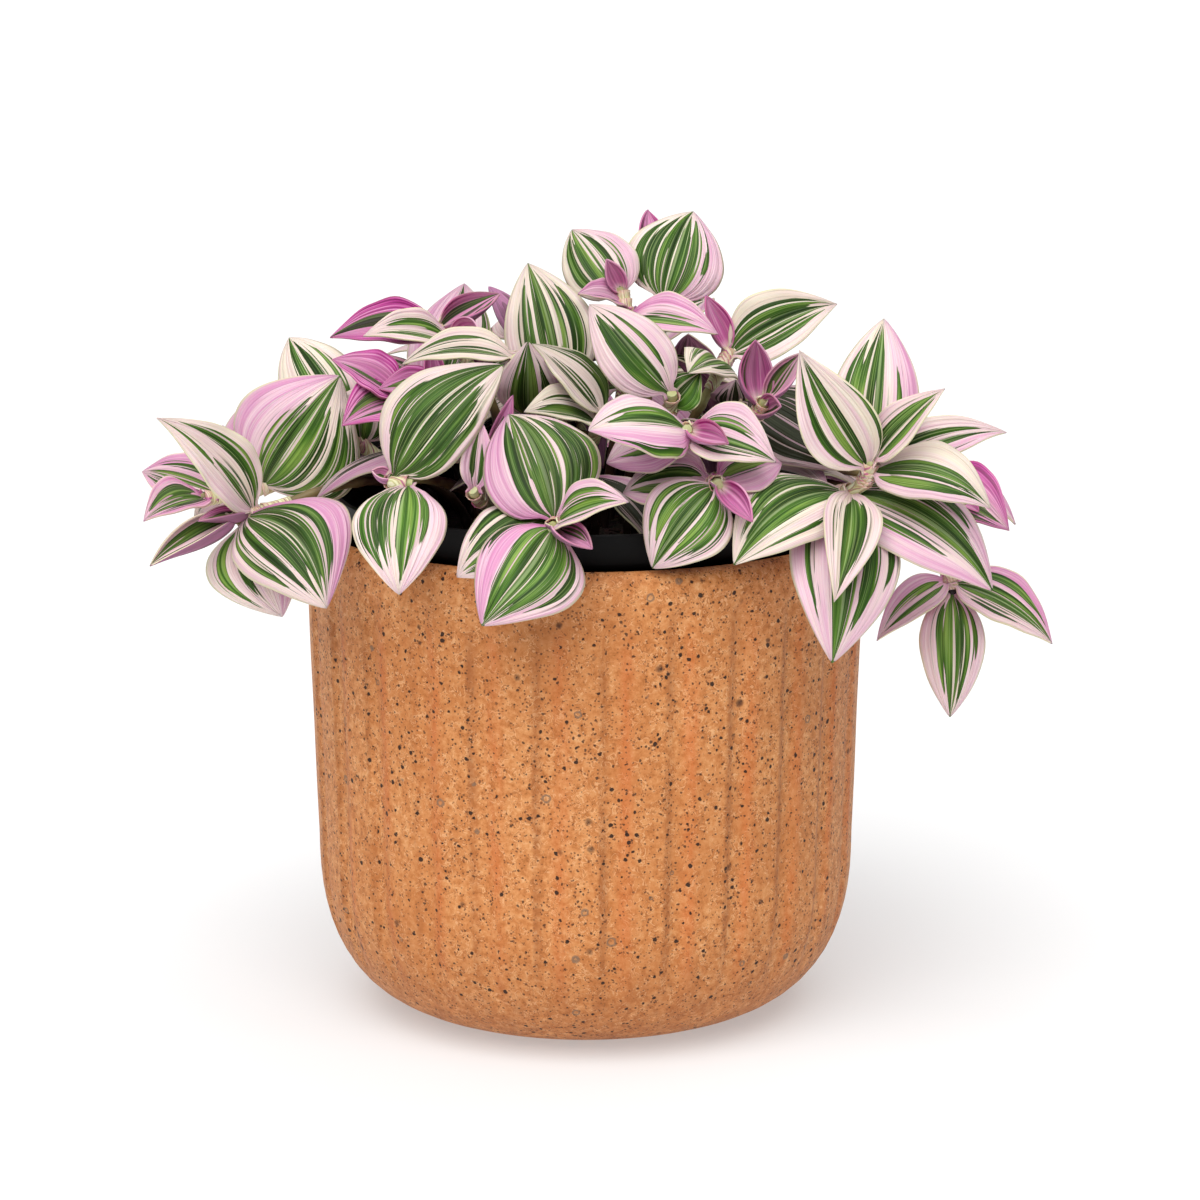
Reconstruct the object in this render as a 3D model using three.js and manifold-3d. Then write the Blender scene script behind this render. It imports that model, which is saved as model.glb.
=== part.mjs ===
import * as THREE from 'three';
import { mergeVertices } from 'three/addons/utils/BufferGeometryUtils.js';
import Module from 'manifold-3d';

// A variegated tradescantia in a black nursery pot, which stands in a fluted stoneware cover pot.
// Millimetres, +Z up, origin under the middle of the cover pot's foot, viewer's side at -Y.

const wasm = await Module();
wasm.setup();

// ---- driving dimensions -------------------------------------------------------------------
const coverPot = {
  height: 123, // foot to the top of the lip
  footRadius: 31.5,
  wallFoot: 67.6, // radius where the rounded base meets the wall
  wallTop: 70, // radius just under the lip
  cornerHeight: 44.5, // height of the rounded base
  cornerPower: 2.5, // how square that rounding is
  lipRadius: 66.3, // crest of the lip
  lipFoot: 119, // where the wall ends and the lip's rounding starts
  lipShoulder: [69.2, 121.4],
  lipInset: 0.3,
  wall: 5.3,
  floor: 7,
  rows: [0, 1.5, 6, 15, 29, 46], // heights of the outside's rows below the flutes' upper ends
  innerFoot: 44, // radius where the flat inner floor starts to curve up
  innerCorner: [53, 12],
  innerBend: 22,
  innerEase: 0.5,
  innerSides: 27,
};
const flute = {
  count: 27,
  firstAngle: -87.4, // left edge of the flute right of the front centre, degrees from +X
  width: 6.7, // degrees
  depth: 0.95,
  fadeLow: 9,
  fullLow: 30,
  fullHigh: 110.5,
  fadeHigh: 114.5,
};
const nurseryPot = {
  rimHeight: 131,
  rimRadius: 62.4,
  rimBand: 9, // height of the thickened rim
  bodyTop: 59.4,
  bodyFoot: 41,
  wall: 1.3,
  footEdge: 1.5, // bevel round the foot
  rimEdge: 0.6, // bevel along the rim
  rimStep: 0.8, // height over which the body steps out to the rim
  insideStep: 1,
  holes: 6,
  holeRing: 29,
  holeRadius: 4.5,
  holeSides: 8,
  sides: 24,
};
const soil = { height: 119, crown: 2.5, footGap: 1.2, sideGap: 0.3, sides: 20 };
const clearance = 0.3; // between pieces that touch
const stem = {
  radius: 1.5,
  hole: 2.1,
  rootDepth: 8,
  sides: 5,
  upright: 2.5, // of the stem above the soil before it starts to bend
  start: 1, // height above the soil where its curve begins
  past: 1.2, // how far it goes on past its last leaf
  ending: 0.4, // share of its length over which it turns to its growing direction
  bends: [0.3, 0.55, 0.78], // places of the tube's knots along the stem
  rising: 0.35, // how straight up it starts, as a share of its length
  risingOver: 0.62, // the same for a shoot that reaches out over the rims
  rimReach: 60,
};
const blade = {
  thickness: 1.1,
  rootHalfWidth: 1.2,
  sunk: 1.2, // how far its root is sunk in the stem
  roundness: 0.6,
  neck: 0.05,
  apart: 0.35, // kept clear round it
  fineWidth: 18.5, // a wider blade has four columns instead of two
  fineWidthBack: 24.5,
  shortWidth: 10.5, // a narrower one has fewer stations
};
const passing = 7; // how far a cutter goes past what it cuts
const weld = 1e-4;

// Leaf forms: arch lifts the middle of the leaf, cup lifts its margins, fold creases it along
// the midrib, all as shares of its length or half width. A lower taper gives fuller shoulders.
const leafForms = {
  dome: { arch: 0.12, cup: -0.3, fold: 0.12, taper: 0.95 },
  boat: { arch: 0.07, cup: 0.12, fold: 0.28, taper: 1.05 },
  young: { arch: 0.04, cup: 0.1, fold: 0.9, taper: 1 },
  curl: { arch: -0.1, cup: 0.5, fold: 0.6, taper: 1 },
  bud: { arch: 0, cup: -0.9, fold: 0, taper: 1 },
};
const leafStations = [0, 0.15, 0.35, 0.58, 0.81, 1];
const shortStations = [0, 0.2, 0.5, 0.8, 1];
const outerStations = [0.25, 0.58, 1]; // the part that keeps off the leaves of its own shoot

// How the photograph was taken, fitted to the cover pot's rim and foot. With it, a pixel of the
// 1200 x 1200 picture, counted from its top left, and a depth y give a point in space.
const photo = {
  tilt: 13.1, // degrees down
  distance: 1000, // from its eye to the middle of the pot
  middle: 80, // height of that middle
  focalPixels: 3958.9,
  middlePixel: [585.5, 687],
};

// The shoots that face the viewer, read in the photograph by eye: where each shoot ends and where
// each leaf's tip lies. grow is the heading and rise that a stem ends with, at is a leaf's place
// along the stem, face is where its upper side looks, as heading and rise, and bow bends it
// sideways, as a share of its length. Degrees and millimetres, headings from +X towards +Y.
const frontShoots = [
  { name: 'left_front', endPixel: [238, 518], y: -42, grow: [-150, -5], leaves: [
    { form: 'boat', at: 0.93, tipPixel: [160, 417], y: -52, width: 16, face: [-70, 30], bow: -0.06 },
    { form: 'dome', at: 0.97, tipPixel: [326, 607], y: -66, width: 29, face: [-85, 25], bow: 0.13 },
    { form: 'dome', at: 0.89, tipPixel: [282, 616], y: -52, width: 25, face: [-105, 25], bow: -0.13 },
    { form: 'young', at: 1, tipPixel: [150, 562], y: -60, width: 10, face: [-90, 55] },
    { form: 'young', at: 0.95, tipPixel: [205, 512], y: -54, width: 6, face: [-90, 60] },
  ] },
  { name: 'left_edge', endPixel: [205, 498], y: -14, grow: [-170, 0], leaves: [
    { form: 'boat', at: 1, tipPixel: [144, 518], y: -30, width: 14, face: [-95, 50] },
    { form: 'boat', at: 0.93, tipPixel: [141, 470], y: -4, width: 15, face: [-90, 40] },
    { form: 'young', at: 0.88, tipPixel: [222, 424], y: 4, width: 10, face: [-90, 20] },
    { form: 'dome', at: 0.78, tipPixel: [338, 376], y: -16, width: 35, face: [-95, 15], bow: -0.03 },
    { form: 'dome', at: 0.7, tipPixel: [258, 386], y: -4, width: 27, face: [-110, 25], bow: 0.05 },
  ] },
  { name: 'left_high', endPixel: [348, 432], y: -10, grow: [150, 40], leaves: [
    { form: 'dome', at: 1, tipPixel: [288, 335], y: 6, width: 20, face: [-100, 35] },
    { form: 'dome', at: 0.9, tipPixel: [372, 382], y: -8, width: 17, face: [-90, 20], bow: 0.05 },
  ] },
  { name: 'left_mid', endPixel: [408, 484], y: -54, grow: [-10, 0], leaves: [
    { form: 'dome', at: 0.84, tipPixel: [503, 364], y: -40, width: 24, face: [-100, 30], bow: 0.06 },
    { form: 'bud', at: 0.8, tipPixel: [372, 470], y: -52, width: 5, face: [-90, 60] },
    { form: 'dome', at: 1, tipPixel: [399, 593], y: -78, width: 22, face: [-90, 15], bow: -0.04 },
  ] },
  { name: 'front', endPixel: [553, 527], y: -72, grow: [-100, 5], leaves: [
    { form: 'dome', at: 0.94, tipPixel: [508, 411], y: -46, width: 28, face: [-90, 30], bow: -0.06 },
    { form: 'dome', at: 0.97, tipPixel: [482, 624], y: -88, width: 26, face: [-95, 30], bow: 0.06 },
    { form: 'boat', at: 0.92, tipPixel: [627, 500], y: -82, width: 15, face: [-90, 50] },
    { form: 'young', at: 1, tipPixel: [592, 548], y: -88, width: 7, face: [-90, 50] },
    { form: 'dome', at: 0.8, tipPixel: [457, 574], y: -74, width: 22, face: [-110, 35] },
  ] },
  { name: 'front_slim', endPixel: [474, 492], y: -50, grow: [-110, 40], leaves: [
    { form: 'boat', at: 1, tipPixel: [462, 414], y: -51, width: 9, face: [-85, 10] },
    { form: 'young', at: 0.9, tipPixel: [513, 394], y: -38, width: 6, face: [-90, 20] },
  ] },
  { name: 'crown_left', endPixel: [517, 360], y: -24, grow: [-100, 60], leaves: [
    { form: 'boat', at: 1, tipPixel: [402, 363], y: -26, width: 13, face: [-90, 60], bow: -0.08 },
    { form: 'dome', at: 0.7, tipPixel: [528, 343], y: -34, width: 16, face: [-90, 25] },
  ] },
  { name: 'crown_low', endPixel: [604, 418], y: -32, grow: [-60, 40], leaves: [
    { form: 'boat', at: 1, tipPixel: [529, 350], y: -24, width: 13, face: [-80, 60] },
    { form: 'boat', at: 0.92, tipPixel: [525, 410], y: -44, width: 16, face: [-90, 55] },
  ] },
  { name: 'purple_far', endPixel: [437, 330], y: 8, grow: [150, 30], leaves: [
    { form: 'boat', at: 0.96, tipPixel: [330, 336], y: 0, width: 17, face: [-90, 55] },
    { form: 'young', at: 1, tipPixel: [500, 292], y: 14, width: 9, face: [-90, 50] },
    { form: 'boat', at: 0.9, tipPixel: [352, 352], y: -8, width: 14, face: [-90, 50] },
    { form: 'young', at: 0.93, tipPixel: [476, 326], y: -6, width: 9, face: [-90, 40] },
  ] },
  { name: 'purple_mid', endPixel: [436, 392], y: -10, grow: [-150, 40], leaves: [
    { form: 'boat', at: 0.95, tipPixel: [366, 404], y: -22, width: 15, face: [-95, 45], bow: 0.05 },
    { form: 'dome', at: 0.86, tipPixel: [462, 440], y: -26, width: 17, face: [-95, 35] },
    { form: 'young', at: 1, tipPixel: [418, 348], y: -10, width: 6, face: [-90, 25] },
    { form: 'boat', at: 0.9, tipPixel: [494, 382], y: -4, width: 13, face: [-90, 45] },
  ] },
  { name: 'purple_near', endPixel: [393, 392], y: -20, grow: [-160, 40], leaves: [
    { form: 'boat', at: 0.96, tipPixel: [335, 355], y: -22, width: 14, face: [-90, 55] },
    { form: 'boat', at: 0.92, tipPixel: [342, 424], y: -34, width: 16, face: [-100, 40] },
    { form: 'young', at: 1, tipPixel: [372, 345], y: -24, width: 8, face: [-90, 30] },
  ] },
  { name: 'crown_cream', endPixel: [560, 396], y: -12, grow: [100, 70], leaves: [
    { form: 'dome', at: 1, tipPixel: [528, 262], y: 0, width: 23, face: [-90, 20], bow: -0.03 },
  ] },
  { name: 'crown_pink', endPixel: [672, 396], y: -36, grow: [-90, 50], leaves: [
    { form: 'dome', at: 1, tipPixel: [590, 303], y: -28, width: 18, face: [-100, 35] },
    { form: 'boat', at: 0.92, tipPixel: [690, 366], y: -34, width: 10, face: [-85, 30] },
  ] },
  { name: 'top_left', endPixel: [622, 292], y: 0, grow: [120, 60], leaves: [
    { form: 'dome', at: 0.97, tipPixel: [572, 228], y: 14, width: 19, face: [-90, 30] },
    { form: 'young', at: 1, tipPixel: [612, 256], y: -4, width: 6, face: [-90, 25] },
    { form: 'boat', at: 0.94, tipPixel: [579, 292], y: -10, width: 11, face: [-90, 60] },
    { form: 'boat', at: 0.9, tipPixel: [718, 332], y: -16, width: 14, face: [-90, 50] },
  ] },
  { name: 'top', endPixel: [664, 297], y: 4, grow: [80, 70], leaves: [
    { form: 'dome', at: 0.97, tipPixel: [694, 210], y: 18, width: 25, face: [-90, 20], bow: 0.03 },
    { form: 'young', at: 0.97, tipPixel: [643, 200], y: 26, width: 10, face: [-90, 10] },
  ] },
  { name: 'right_high', endPixel: [730, 352], y: -8, grow: [60, 40], leaves: [
    { form: 'boat', at: 0.97, tipPixel: [838, 303], y: -6, width: 18, face: [-90, 35], bow: 0.04 },
    { form: 'young', at: 1, tipPixel: [731, 290], y: -8, width: 7, face: [-90, 15] },
    { form: 'young', at: 0.95, tipPixel: [750, 308], y: -2, width: 6, face: [-90, 25] },
    { form: 'dome', at: 0.9, tipPixel: [677, 382], y: -36, width: 15, face: [-90, 35] },
  ] },
  { name: 'middle', endPixel: [688, 430], y: -60, grow: [-100, 20], leaves: [
    { form: 'dome', at: 0.97, tipPixel: [590, 428], y: -74, width: 21, face: [-90, 50] },
    { form: 'dome', at: 0.92, tipPixel: [606, 462], y: -52, width: 15, face: [-90, 40] },
    { form: 'boat', at: 0.95, tipPixel: [776, 460], y: -66, width: 18, face: [-90, 45] },
    { form: 'young', at: 1, tipPixel: [728, 442], y: -72, width: 7, face: [-90, 40] },
  ] },
  { name: 'middle_low', endPixel: [718, 484], y: -64, grow: [-80, 10], leaves: [
    { form: 'dome', at: 0.97, tipPixel: [652, 567], y: -69, width: 22, face: [-90, 35] },
    { form: 'boat', at: 0.92, tipPixel: [623, 452], y: -50, width: 18, face: [-90, 45] },
    { form: 'young', at: 1, tipPixel: [752, 520], y: -78, width: 7, face: [-90, 35] },
    { form: 'boat', at: 0.94, tipPixel: [783, 462], y: -52, width: 14, face: [-80, 40] },
  ] },
  { name: 'curl', endPixel: [765, 402], y: -46, grow: [-60, 50], leaves: [
    { form: 'curl', at: 0.96, tipPixel: [757, 340], y: -48, width: 10, face: [-60, 20] },
    { form: 'young', at: 1, tipPixel: [803, 352], y: -48, width: 7, face: [-110, 30] },
    { form: 'young', at: 0.93, tipPixel: [790, 392], y: -56, width: 7, face: [-90, 30] },
  ] },
  { name: 'right_front', endPixel: [872, 463], y: -60, grow: [-60, 75], leaves: [
    { form: 'boat', at: 0.97, tipPixel: [800, 350], y: -62, width: 18, face: [-100, 20], bow: 0.04 },
    { form: 'dome', at: 0.93, tipPixel: [885, 318], y: -42, width: 21, face: [-90, 20] },
    { form: 'dome', at: 0.95, tipPixel: [990, 505], y: -72, width: 17, face: [-85, 40], bow: 0.13 },
    { form: 'boat', at: 1, tipPixel: [945, 388], y: -66, width: 11, face: [-100, 40] },
    { form: 'boat', at: 0.91, tipPixel: [1008, 430], y: -46, width: 13, face: [-80, 45], bow: 0.05 },
    { form: 'dome', at: 0.77, tipPixel: [735, 562], y: -76, width: 22, face: [-95, 40], bow: -0.08 },
    { form: 'dome', at: 0.76, tipPixel: [993, 590], y: -68, width: 23, face: [-80, 40], bow: 0.08 },
    { form: 'dome', at: 0.74, tipPixel: [833, 660], y: -78, width: 26, face: [-88, 25], bow: 0.04 },
    { form: 'boat', at: 0.8, tipPixel: [835, 600], y: -86, width: 14, face: [-85, 30], bow: 0.03 },
  ] },
  { name: 'dark_right', endPixel: [748, 398], y: -26, grow: [-50, 20], leaves: [
    { form: 'dome', at: 1, tipPixel: [850, 468], y: -40, width: 23, face: [-90, 40] },
    { form: 'dome', at: 0.9, tipPixel: [736, 380], y: -30, width: 12, face: [-90, 20] },
  ] },
  { name: 'right_edge', endPixel: [936, 478], y: -10, grow: [-10, 10], leaves: [
    { form: 'boat', at: 0.97, tipPixel: [1010, 530], y: -18, width: 17, face: [-80, 40] },
    { form: 'young', at: 1, tipPixel: [975, 520], y: -20, width: 8, face: [-90, 40] },
  ] },
  { name: 'right_hanging', endPixel: [952, 590], y: -34, grow: [-60, -75], leaves: [
    { form: 'dome', at: 1, tipPixel: [950, 717], y: -44, width: 16, face: [-85, 15] },
    { form: 'boat', at: 0.97, tipPixel: [1053, 643], y: -40, width: 15, face: [-80, 40], bow: 0.05 },
    { form: 'boat', at: 0.96, tipPixel: [877, 640], y: -44, width: 10, face: [-100, 30], bow: -0.05 },
  ] },
];

// The shoots at the back and the sides, in rings. first and last are headings, reach and height
// place the shoot's tip, and leaves is the number of mature leaves round it. The low shoots
// lie over the soil all round, and have no young leaves.
const backRings = [
  { name: 'back_outer', count: 7, first: 10, last: 170, reach: 80, height: 134, grow: -5, leaves: 4 },
  { name: 'back_inner', count: 4, first: 32, last: 148, reach: 48, height: 152, grow: 30, leaves: 4 },
  { name: 'back_crown', count: 2, first: 60, last: 125, reach: 26, height: 162, grow: 55, leaves: 3 },
  {
    name: 'low', count: 6, first: -150, last: 150, reach: 40, height: 139, grow: 0, leaves: 3,
    low: true, rootShare: 0.8,
  },
];
const backLeaf = {
  length: [31, 40],
  width: [19, 25],
  turn: 10, // the most that a leaf's heading is off its place in the row
  rise: [-40, 0],
  space: 0.065, // along the stem between two leaves, as a share of it
  first: 25, // heading of the first leaf off the shoot's own
  step: 28, // added from one leaf to the next
  face: 62,
  bow: 0.06,
};
const backYoung = { length: [14, 20], width: [7, 9], rise: [40, 65], turn: 30, face: 45 };
const backUpright = { length: [26, 32], width: [14, 16], rise: [40, 60], turn: [140, 220], face: 45 };
const backShoot = { turn: 4, reach: [0.93, 1.07], height: 5, domes: 0.65 };
// A shoot roots at this share of its tip's distance from the middle, and at most so far out.
const rooting = { share: 0.5, reach: 46 };
const seed = 5150;
const lehmer = { multiplier: 16807, modulus: 2147483647 }; // of the seeded draws
// A leaf in the way of another is bent by these degrees in so many ways, then made smaller.
const bends = { placed: [5, 10, 16, 23], byRule: [8, 16, 26, 38, 52], ways: 8, sizes: [1, 0.9, 0.8] };

// ---- small helpers --------------------------------------------------------------------------
const radians = Math.PI / 180;

function direction(heading, rise) {
  const flat = Math.cos(rise * radians);
  return new THREE.Vector3(
    Math.cos(heading * radians) * flat,
    Math.sin(heading * radians) * flat,
    Math.sin(rise * radians),
  );
}

function makeDraw(start) {
  let state = start;
  return (low, high) => {
    state = (state * lehmer.multiplier) % lehmer.modulus;
    return low + (high - low) * (state / lehmer.modulus);
  };
}

function solidFrom(geometry) {
  geometry.deleteAttribute('normal');
  geometry.deleteAttribute('uv');
  const merged = mergeVertices(geometry, weld);
  return solidFromArrays(merged.attributes.position.array, merged.index.array);
}

function solidFromArrays(positions, triangles) {
  return new wasm.Manifold(new wasm.Mesh({
    numProp: 3,
    vertProperties: new Float32Array(positions),
    triVerts: new Uint32Array(triangles),
  }));
}

function geometryFrom(solid) {
  const mesh = solid.getMesh();
  const geometry = new THREE.BufferGeometry();
  geometry.setAttribute('position', new THREE.BufferAttribute(mesh.vertProperties, 3));
  geometry.setIndex(new THREE.BufferAttribute(mesh.triVerts, 1));
  geometry.computeVertexNormals();
  return geometry;
}

// A solid of revolution round +Z from [radius, height] points that start and end on the axis.
function turned(profile, segments) {
  const lathe = new THREE.LatheGeometry(profile.map(([r, z]) => new THREE.Vector2(r, z)), segments);
  lathe.rotateX(Math.PI / 2);
  return lathe;
}

function standingPrism(radius, low, high, sides, x, y) {
  const prism = new THREE.CylinderGeometry(radius, radius, high - low, sides);
  prism.rotateX(Math.PI / 2);
  prism.translate(x, y, (low + high) / 2);
  return solidFrom(prism);
}

// ---- pots and soil --------------------------------------------------------------------------
function coverRadiusAt(z) {
  const { footRadius, wallFoot, wallTop, cornerHeight, cornerPower, lipFoot } = coverPot;
  if (z < cornerHeight) {
    const drop = (cornerHeight - z) / cornerHeight;
    const round = Math.pow(1 - Math.pow(drop, cornerPower), 1 / cornerPower);
    return footRadius + (wallFoot - footRadius) * round;
  }
  return wallFoot + ((wallTop - wallFoot) * (z - cornerHeight)) / (lipFoot - cornerHeight);
}

function fluteDepthAt(offset, z) {
  const across = 1 - Math.abs(2 * offset / flute.width - 1);
  const low = (z - flute.fadeLow) / (flute.fullLow - flute.fadeLow);
  const high = (flute.fadeHigh - z) / (flute.fadeHigh - flute.fullHigh);
  return flute.depth * Math.max(0, across) * Math.max(0, Math.min(1, low, high));
}

function makeCoverPot() {
  const { height, lipRadius, lipFoot, lipShoulder, lipInset, floor, wall } = coverPot;
  const heights = [...coverPot.rows, flute.fullHigh, flute.fadeHigh, lipFoot];
  const rows = heights.map((z) => [coverRadiusAt(z), z]);
  rows.push(lipShoulder, [lipRadius, height]);
  // three columns to a flute: its two edges and its deepest line
  const offsets = [0, flute.width / 2, flute.width];
  const columns = [];
  for (let k = 0; k < flute.count; k += 1) {
    const start = flute.firstAngle + (k * 360) / flute.count;
    offsets.forEach((offset) => columns.push({ angle: (start + offset) * radians, offset }));
  }
  const positions = [];
  const triangles = [];
  rows.forEach(([radius, z]) => columns.forEach(({ angle, offset }) => {
    const r = radius - fluteDepthAt(offset, z);
    positions.push(r * Math.cos(angle), r * Math.sin(angle), z);
  }));
  const around = columns.length;
  for (let i = 0; i + 1 < rows.length; i += 1) {
    for (let j = 0; j < around; j += 1) {
      const a = i * around + j;
      const b = i * around + ((j + 1) % around);
      triangles.push(a, b, b + around, a, b + around, a + around);
    }
  }
  const bottom = positions.length / 3;
  positions.push(0, 0, 0, 0, 0, height);
  const lastRow = (rows.length - 1) * around;
  for (let j = 0; j < around; j += 1) {
    const next = (j + 1) % around;
    triangles.push(bottom, next, j, bottom + 1, lastRow + j, lastRow + next);
  }
  const outside = solidFromArrays(positions, triangles);
  const { innerFoot, innerCorner, innerBend, innerEase } = coverPot;
  const innerWallFoot = heights[coverPot.rows.length - 1];
  const innerRadius = (z) => coverRadiusAt(z) - wall;
  const inside = solidFrom(turned([
    [0, floor], [innerFoot, floor], innerCorner, [innerRadius(innerBend) - innerEase, innerBend],
    [innerRadius(innerWallFoot), innerWallFoot], [innerRadius(lipFoot), lipFoot],
    [lipRadius - lipInset, height], [lipRadius, height + passing], [0, height + passing],
  ], coverPot.innerSides));
  return outside.subtract(inside);
}

const nurseryFloor = coverPot.floor + clearance;
const rimFoot = nurseryPot.rimHeight - nurseryPot.rimBand;

function nurseryRadiusAt(z) {
  const share = (z - nurseryFloor) / (rimFoot - nurseryFloor);
  return nurseryPot.bodyFoot + (nurseryPot.bodyTop - nurseryPot.bodyFoot) * share;
}

function makeNurseryPot() {
  const { rimRadius, rimHeight, bodyFoot, bodyTop, wall } = nurseryPot;
  const { footEdge, rimEdge, rimStep, insideStep } = nurseryPot;
  const shell = solidFrom(turned([
    [0, nurseryFloor], [bodyFoot - footEdge, nurseryFloor], [bodyFoot, nurseryFloor + footEdge],
    [bodyTop, rimFoot], [rimRadius - rimEdge, rimFoot + rimStep], [rimRadius, rimHeight - rimEdge],
    [rimRadius - rimEdge, rimHeight], [rimRadius - wall, rimHeight],
    [bodyTop - wall, rimFoot - insideStep], [bodyFoot - wall, nurseryFloor + wall + insideStep],
    [0, nurseryFloor + wall],
  ], nurseryPot.sides));
  let pot = shell;
  for (let k = 0; k < nurseryPot.holes; k += 1) {
    const angle = (k * 2 * Math.PI) / nurseryPot.holes;
    const x = nurseryPot.holeRing * Math.cos(angle);
    const y = nurseryPot.holeRing * Math.sin(angle);
    const high = nurseryFloor + passing;
    pot = pot.subtract(standingPrism(nurseryPot.holeRadius, 0, high, nurseryPot.holeSides, x, y));
  }
  return pot;
}

function makeSoil(shoots) {
  const low = nurseryFloor + nurseryPot.wall + clearance + soil.footGap;
  const rim = (z) => nurseryRadiusAt(z) - nurseryPot.wall - clearance - soil.sideGap;
  let body = solidFrom(turned([
    [0, low], [rim(low) - nurseryPot.insideStep, low], [rim(soil.height), soil.height],
    [0, soil.height + soil.crown],
  ], soil.sides));
  shoots.forEach(({ root: [x, y] }) => {
    const depth = soil.height - stem.rootDepth - clearance;
    body = body.subtract(standingPrism(stem.hole, depth, soil.height + passing, stem.sides, x, y));
  });
  return body;
}

// ---- stems and leaves -----------------------------------------------------------------------
// A stem stands up out of the soil, arches over and ends growing the way its shoot does.
function stemPoint(shoot, u) {
  const root = new THREE.Vector3(...shoot.root, soil.height + stem.start);
  const tip = new THREE.Vector3(...shoot.tip);
  const length = root.distanceTo(tip);
  const share = Math.hypot(tip.x, tip.y) > stem.rimReach ? stem.risingOver : stem.rising;
  const rising = root.clone().add(new THREE.Vector3(0, 0, share * length));
  const ending = tip.clone().addScaledVector(direction(...shoot.grow), -stem.ending * length);
  return new THREE.CubicBezierCurve3(root, rising, ending, tip).getPoint(u);
}

// A path of straight stretches, so that the tube along it passes exactly through its knots.
class KnottedPath extends THREE.Curve {
  constructor(knots) {
    super();
    this.knots = knots;
  }

  getPoint(t) {
    const place = t * (this.knots.length - 1);
    const k = Math.min(Math.floor(place), this.knots.length - 2);
    return this.knots[k].clone().lerp(this.knots[k + 1], place - k);
  }

  getPointAt(t) { return this.getPoint(t); }

  getTangentAt(t) { return this.getTangent(t); }
}

function makeStem(shoot) {
  const [x, y] = shoot.root;
  const knots = [
    new THREE.Vector3(x, y, soil.height - stem.rootDepth),
    new THREE.Vector3(x, y, soil.height + stem.upright),
    ...stem.bends.map((u) => stemPoint(shoot, u)),
    stemPoint(shoot, 1).addScaledVector(direction(...shoot.grow), stem.past),
  ];
  const section = new THREE.Shape();
  for (let k = 0; k < stem.sides; k += 1) {
    const angle = (k * 2 * Math.PI) / stem.sides;
    const corner = [stem.radius * Math.cos(angle), stem.radius * Math.sin(angle)];
    if (k === 0) section.moveTo(...corner); else section.lineTo(...corner);
  }
  section.closePath();
  return solidFrom(new THREE.ExtrudeGeometry(section, {
    steps: knots.length - 1, extrudePath: new KnottedPath(knots), bevelEnabled: false,
  }));
}

// Half width of an ovate leaf at s, from its root (0) to its sharp tip (1), as a share of its
// widest, which lies at roundness / (roundness + taper) of its length.
function ovate(s, taper) {
  const widest = blade.roundness / (blade.roundness + taper);
  const share = Math.max(0, (s - blade.neck) / (1 - blade.neck));
  return Math.pow(share / widest, blade.roundness) * Math.pow((1 - share) / (1 - widest), taper);
}

// A point of the leaf's middle surface: s along it, t across it from margin (-1) to margin (1).
function leafPoint(leaf, s, t) {
  const { base, along, across, up, length, width, form, bow } = leaf;
  const half = Math.max((width / 2) * ovate(s, form.taper), blade.rootHalfWidth * (1 - s));
  const swell = 4 * s * (1 - s);
  const rise = form.arch * length * swell;
  const lift = half * (form.cup * t * t + form.fold * Math.abs(t));
  return base.clone()
    .addScaledVector(along, length * s)
    .addScaledVector(across, half * t + bow * length * swell)
    .addScaledVector(up, rise + lift);
}

function placeLeaf(shoot, leaf, turn = 0, lift = 0, size = 1) {
  const { form, at, heading, rise, length, width, face, bow = 0 } = leaf;
  const along = direction(heading + turn, rise + lift);
  const up = direction(...face);
  up.addScaledVector(along, -up.dot(along)).normalize();
  const across = new THREE.Vector3().crossVectors(up, along);
  return {
    base: stemPoint(shoot, at), along, across, up,
    length: length * size, width: width * size, bow, form: leafForms[form],
    fineWidth: shoot.byRule ? blade.fineWidthBack : blade.fineWidth,
    short: width < blade.shortWidth,
  };
}

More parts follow.
